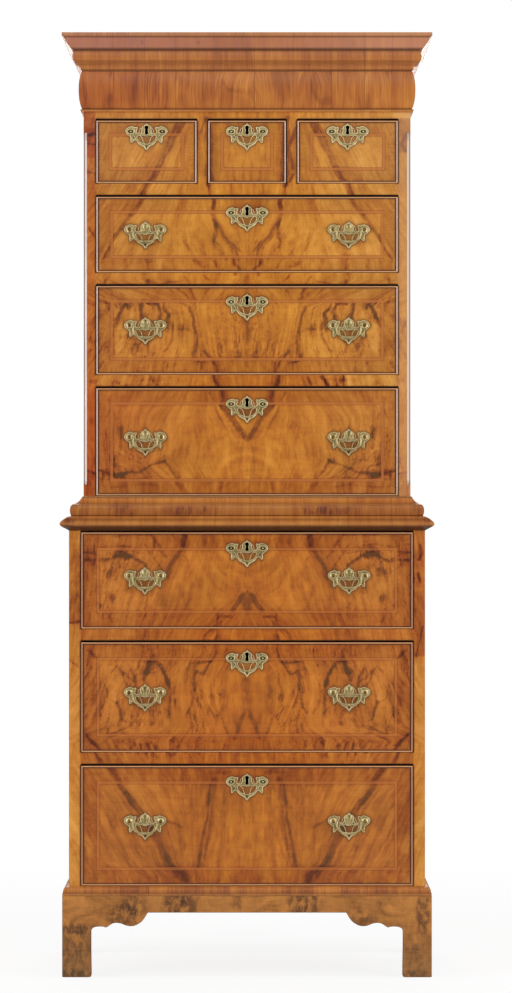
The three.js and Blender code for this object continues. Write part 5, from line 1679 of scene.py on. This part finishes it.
# profiles of the turned parts as (radius, distance towards the front)
turnedShape = dict(
    post=[(5.6, 0), (5.6, 0.7), (5.0, 1.3), (3.6, 1.9), (2.7, 2.8), (2.6, 3.8), (3.3, 4.7), (4.5, 5.8),
          (4.95, 7.2), (4.95, 9.0), (4.5, 10.6), (3.4, 11.9), (1.8, 12.7), (0.05, 12.95)],
    dome=[(8.2, 0), (8.0, 0.5), (7.0, 1.1), (5.2, 1.7), (3.2, 2.1), (1.6, 2.3), (0.05, 2.35)],
    hollow=[(6.6, 0), (6.6, 0.16), (3, 0.2), (0.05, 0.2)],
    pin=[(1.7, 0), (1.7, 0.4), (1.1, 0.9), (0.05, 1.1)],
    screw=[(2.6, 0), (2.6, 0.4), (1.9, 0.8), (0.05, 0.9)],
    bolt=[(2, 0), (2, 5), (1.4, 5.8), (0.05, 6)],
)


def makeRims(outline, crescent):
    # raised edges, rings and scrolls that both kinds of plate have, each as (part, polish)
    shape, sheet = plateShape, plateShape['sheet']
    rims = []
    for label, loop in (('outline', outline), ('crescent', crescent)):
        radius, inset, polish = shape['rims'][label]
        rims.append((rimOf(loop, radius, inset, sheet), polish))
    for x, z, radius, rod, squash, polish in shape['rings']:
        rims += [(ringOf(side * x, z, radius, rod, squash, sheet), polish) for side in (-1, 1)]
    for side in (-1, 1):
        for path, radius in shape['scrolls']:
            path = throughPoints(np.array(path, float) * [side, 1], 4)
            rims.append((moved(sweep(path, np.full(len(path), radius), 6), y=-sheet), 0.9))
    return rims


def makePlateParts():
    # pieces of a handle plate and of a keyhole plate, each as (part, polish, below zero painted shade)
    shape, sheet, domeShape = plateShape, plateShape['sheet'], plateShape['dome']
    outline, crescent, keyhole = mirroredOutline('outline'), mirroredOutline('crescent'), keyholeOutline()
    holes = [crescent] + [roundHole(*hole) for hole in shape['holes']]
    plate, keyedPlate = (
        pierced(outline, loops, sheet, shape['rounding']) for loops in (holes, [*holes, keyhole]))
    rims = makeRims(outline, crescent)
    points, faces = turned(turnedShape['dome'], 36, domeShape['squash'])
    # flutes run out from the foot of the dome like a shell
    around = np.arctan2(points[:, 0], points[:, 2] + domeShape['fluteFoot'])
    petals = 0.5 + 0.5 * np.cos(domeShape['flutes'] * around)
    dome = (points * joined(1 - 0.06 * petals, 1 - 0.35 * petals, 1 - 0.06 * petals), faces)
    domeRing = ringOf(0, *(domeShape[label] for label in ('z', 'radius', 'rod', 'squash')), sheet)
    handle = [(plate, 0.2), *rims, (moved(dome, y=0.2 - sheet, z=domeShape['z']), 0.5 - 0.75 * petals),
              (domeRing, 0.9)]
    radius, inset, polish = shape['rims']['keyhole']
    keyPlate = [(keyedPlate, 0.2), *rims, (rimOf(keyhole, radius, inset, sheet), polish)]
    post = turned(turnedShape['post'])
    # the posts' necks and ends below zero: painted shade
    postShineAndShade = np.where(np.hypot(post[0][:, 0], post[0][:, 2]) < 4.0, -0.5, 0.95)
    for x in (-shape['posts'] / 2, shape['posts'] / 2):
        # the keyhole plate has a hollow oval with a small pin where the other has its post, the oval black as
        # painted shade
        keyPlate.append((moved(turned(turnedShape['hollow'], 20, 0.56), x, 0.1 - sheet), -0.75))
        keyPlate.append((moved(turned(turnedShape['pin'], 12), x, 0.1 - sheet), 0.4))
        handle.append((moved(post, x, 0.1 - shape['postFoot']), postShineAndShade))
    return handle, keyPlate


def makeBrassPiece(name, parts, body, *nodes, sharp=40, **at):
    # parts listed as (part, polish, below zero painted shade), set down together
    points, faces = gather([moved(part, **at) for part, polish in parts])
    polish = np.concatenate([np.broadcast_to(polish, len(part[0])) for part, polish in parts])
    values = joined(polish, 0, 0)
    made = turnOutwards(makePiece(name, points, faces, [brass], onPoints={'polish': values}, sharp=sharp))
    return settle(made, body, 'brass', *nodes)


bailShape = dict(
    pin=1.4,
    # half of the bail from its pin: out from the middle, down from the pin, radius
    half=[(31.2, 0, 1.4), (29, 0, 1.4), (27.2, 0, 1.45), (25.2, -0.8, 1.6), (24.2, -3, 1.7), (24.3, -7, 1.8),
          (24.1, -11, 1.8), (22.4, -15.6, 1.9), (18.4, -20, 2.1), (12.1, -22.7, 2.1), (9.4, -23.3, 1.8),
          (7.2, -23.6, 2.4), (3.2, -24.0, 2.6), (0, -24.1, 2.6)],
)


def makeBailPart():
    half = np.array(bailShape['half'], float)
    # the other half is its mirror image
    smooth = throughPoints(np.concatenate([half, half[-2::-1] * [-1, 1, 1]]), 4)
    return sweep(smooth[:, :2], smooth[:, 2])


# a lock's boards as (lowest corner, highest corner) and its screws as (x, z), both from the middle of the
# inside of the front's top edge, and the nut on a handle's post
lockShape = dict(
    boards=[((-31, 0, -46), (31, 2, 0)), ((-23, 2, -40), (23, 9, -5)), ((-9, 1, -4), (9, 7, 0.2))],
    screws=[(-27, -7), (27, -7), (-27, -40), (27, -40)], depth=2.0,
)
nutShape = dict(low=(-4.5, 0, -4.5), high=(4.5, 3, 4.5))


def makeLockParts():
    screw = flipped(turned(turnedShape['screw'], 10))
    parts = [(boardPart(*board)[:2], 0.3) for board in lockShape['boards']]
    return parts + [(moved(screw, x, lockShape['depth'], z), 0.8) for x, z in lockShape['screws']]


def makeNutParts():
    # the nut and the end of the bolt behind each post
    nut, bolt = boardPart(**nutShape)[:2], flipped(turned(turnedShape['bolt'], 10))
    spots = (-plateShape['posts'] / 2, plateShape['posts'] / 2)
    return [(moved(part, x), polish) for part, polish in ((nut, 0.2), (bolt, 0.4)) for x in spots]


def makeBrasses():
    handleParts, keyParts = makePlateParts()
    lockParts, nutParts, bailParts = makeLockParts(), makeNutParts(), [(makeBailPart(), 0.3)]
    for drawer in drawers:
        low, high = corners(f'{drawer}_front')
        inside = high[1] + 0.1
        makeBrassPiece(f'{drawer}_escutcheon', keyParts, drawer, **keyPlace(drawer))
        makeBrassPiece(f'{drawer}_lock', lockParts, drawer, sharp=30,
                       x=(low[0] + high[0]) / 2, y=inside, z=high[2] - 1.0)
        for side in ('left', 'right'):
            plateNode, bailNode = f'{drawer}_handle_plate_{side}', f'{drawer}_bail_{side}'
            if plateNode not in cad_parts:
                continue
            at = platePlace(plateNode)
            makeBrassPiece(f'{plateNode}_pierced', handleParts, drawer, plateNode, **at)
            makeBrassPiece(f'{plateNode}_nuts', nutParts, drawer, sharp=30, x=at['x'], y=inside, z=at['z'])
            bailLow, bailHigh = corners(bailNode)
            middle = (bailLow + bailHigh) / 2
            makeBrassPiece(f'{bailNode}_drop', bailParts, bailNode, bailNode, sharp=60,
                           x=middle[0], y=middle[1], z=bailHigh[2] - bailShape['pin'])


makeBrasses()
print('brasses done')


# metres: the view is 993 px tall as in the photo, at 2 mm a px
studio = dict(
    viewHeight=1.986, distance=8.0, aimX=0.018, aimZ=0.96, frontY=-0.226, sensor=24.0,
    # name, place, aim, width, height, power
    softboxes=[
        ('top_box', (0, -2.9, 3.4), (0, 0, 1.1), 2.6, 1.4, 26),
        ('left_box', (-2.8, -2.5, 1.7), (0, 0, 1.0), 1.4, 2.2, 43),
        ('right_box', (2.8, -2.5, 1.7), (0, 0, 1.0), 1.4, 2.2, 48),
        ('left_strip', (-2.2, -0.45, 1.1), (0, -0.2, 1.0), 0.5, 2.3, 26),
        ('right_strip', (2.2, -0.45, 1.1), (0, -0.2, 1.0), 0.5, 2.3, 26),
        ('back_box', (0, 3.0, 2.2), (0, 0, 1.0), 2.4, 1.6, 50),
    ],
)
# the floor in millimetres: its radius, where it starts and ends to fade, and how far it lies below zero
floorShape = dict(radius=3200, fadeStart=900, fadeEnd=2600, below=0.3, corners=64, whiteShare=0.86)


def addSoftbox(name, place, aim, wide, tall, power):
    light = bpy.data.lights.new(name, 'AREA')
    light.shape, light.size, light.size_y, light.energy = 'RECTANGLE', wide, tall, power
    made = newObject(name, light)
    made.location = place
    made.rotation_euler = (Vector(aim) - Vector(place)).to_track_quat('-Z', 'Y').to_euler()


def makeWorld():
    # plain light, and white where the camera sees it
    world = bpy.data.worlds.new('studio')
    bpy.context.scene.world = world
    world.use_nodes = True
    world.node_tree.nodes.clear()
    wire = Wire(world.node_tree)
    seen, glossy = (wire.node('LightPath', output=label) for label in ('Is Camera Ray', 'Is Glossy Ray'))
    strength = seen + (1 - seen) * (0.22 + glossy * 0.1)
    background = wire.node('Background', inputs={'Color': (1, 1, 1, 1), 'Strength': strength})
    background.node('OutputWorld', inputs={'Surface': background})


def makeFloor():
    # a pale disc that keeps the shadow and fades into the white behind it
    shape = floorShape
    turn = np.arange(shape['corners']) / shape['corners'] * 2 * math.pi
    disc = joined(np.cos(turn), np.sin(turn), 0) * shape['radius'] - [0, 0, shape['below']]
    material, wire = newMaterial('pale_floor')
    here = wire.place()
    x, y = here.parts()[:2]
    away = (x * x + y * y).math('SQRT')
    speckle = here.noise(0.02, 0.02, 0.02).ramp((0, colour(246, 246, 246)), (1, colour(252, 252, 252)))
    paper = wire.node('BsdfDiffuse', inputs={'Color': speckle})
    white = wire.node('Emission', inputs={'Color': (1, 1, 1, 1), 'Strength': 1.0})
    clear = wire.node('BsdfTransparent')
    ray = wire.node('LightPath', output='Is Camera Ray')
    shown = wire.node('MixShader', inputs={0: ray * shape['whiteShare'], 1: paper, 2: white})
    fade = away.ease(shape['fadeStart'], shape['fadeEnd'])
    faded = wire.node('MixShader', inputs={0: fade, 1: shown, 2: clear})
    faded.node('OutputMaterial', inputs={'Surface': faded})
    makePiece('floor', disc, [np.arange(shape['corners'])[None]], [material])


def makeCamera():
    # square to the front, as the photo was taken
    camera = bpy.data.cameras.new('camera')
    camera.sensor_fit, camera.sensor_height = 'VERTICAL', studio['sensor']
    camera.lens = studio['sensor'] * studio['distance'] / studio['viewHeight']
    viewer = newObject('camera', camera)
    viewer.location = (studio['aimX'], studio['frontY'] - studio['distance'], studio['aimZ'])
    viewer.rotation_euler = (math.pi / 2, 0, 0)
    bpy.context.scene.camera = viewer
    bpy.context.scene.view_settings.view_transform = 'Standard'


for softbox in studio['softboxes']:
    addSoftbox(*softbox)
makeWorld()
makeFloor()
makeCamera()

# plain finishes for the CAD nodes that still show
for nodeName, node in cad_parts.items():
    finish = pineAcross
    if 'side' in nodeName or nodeName == 'upper_top_board':
        finish = sideVeneer
    elif 'bail' in nodeName or 'plate' in nodeName:
        finish = brass
    elif 'divider' in nodeName:
        finish = oakFrontEdge
    elif 'box' in nodeName:
        finish = oakAcross
    node.data.materials.clear()
    node.data.materials.append(finish)
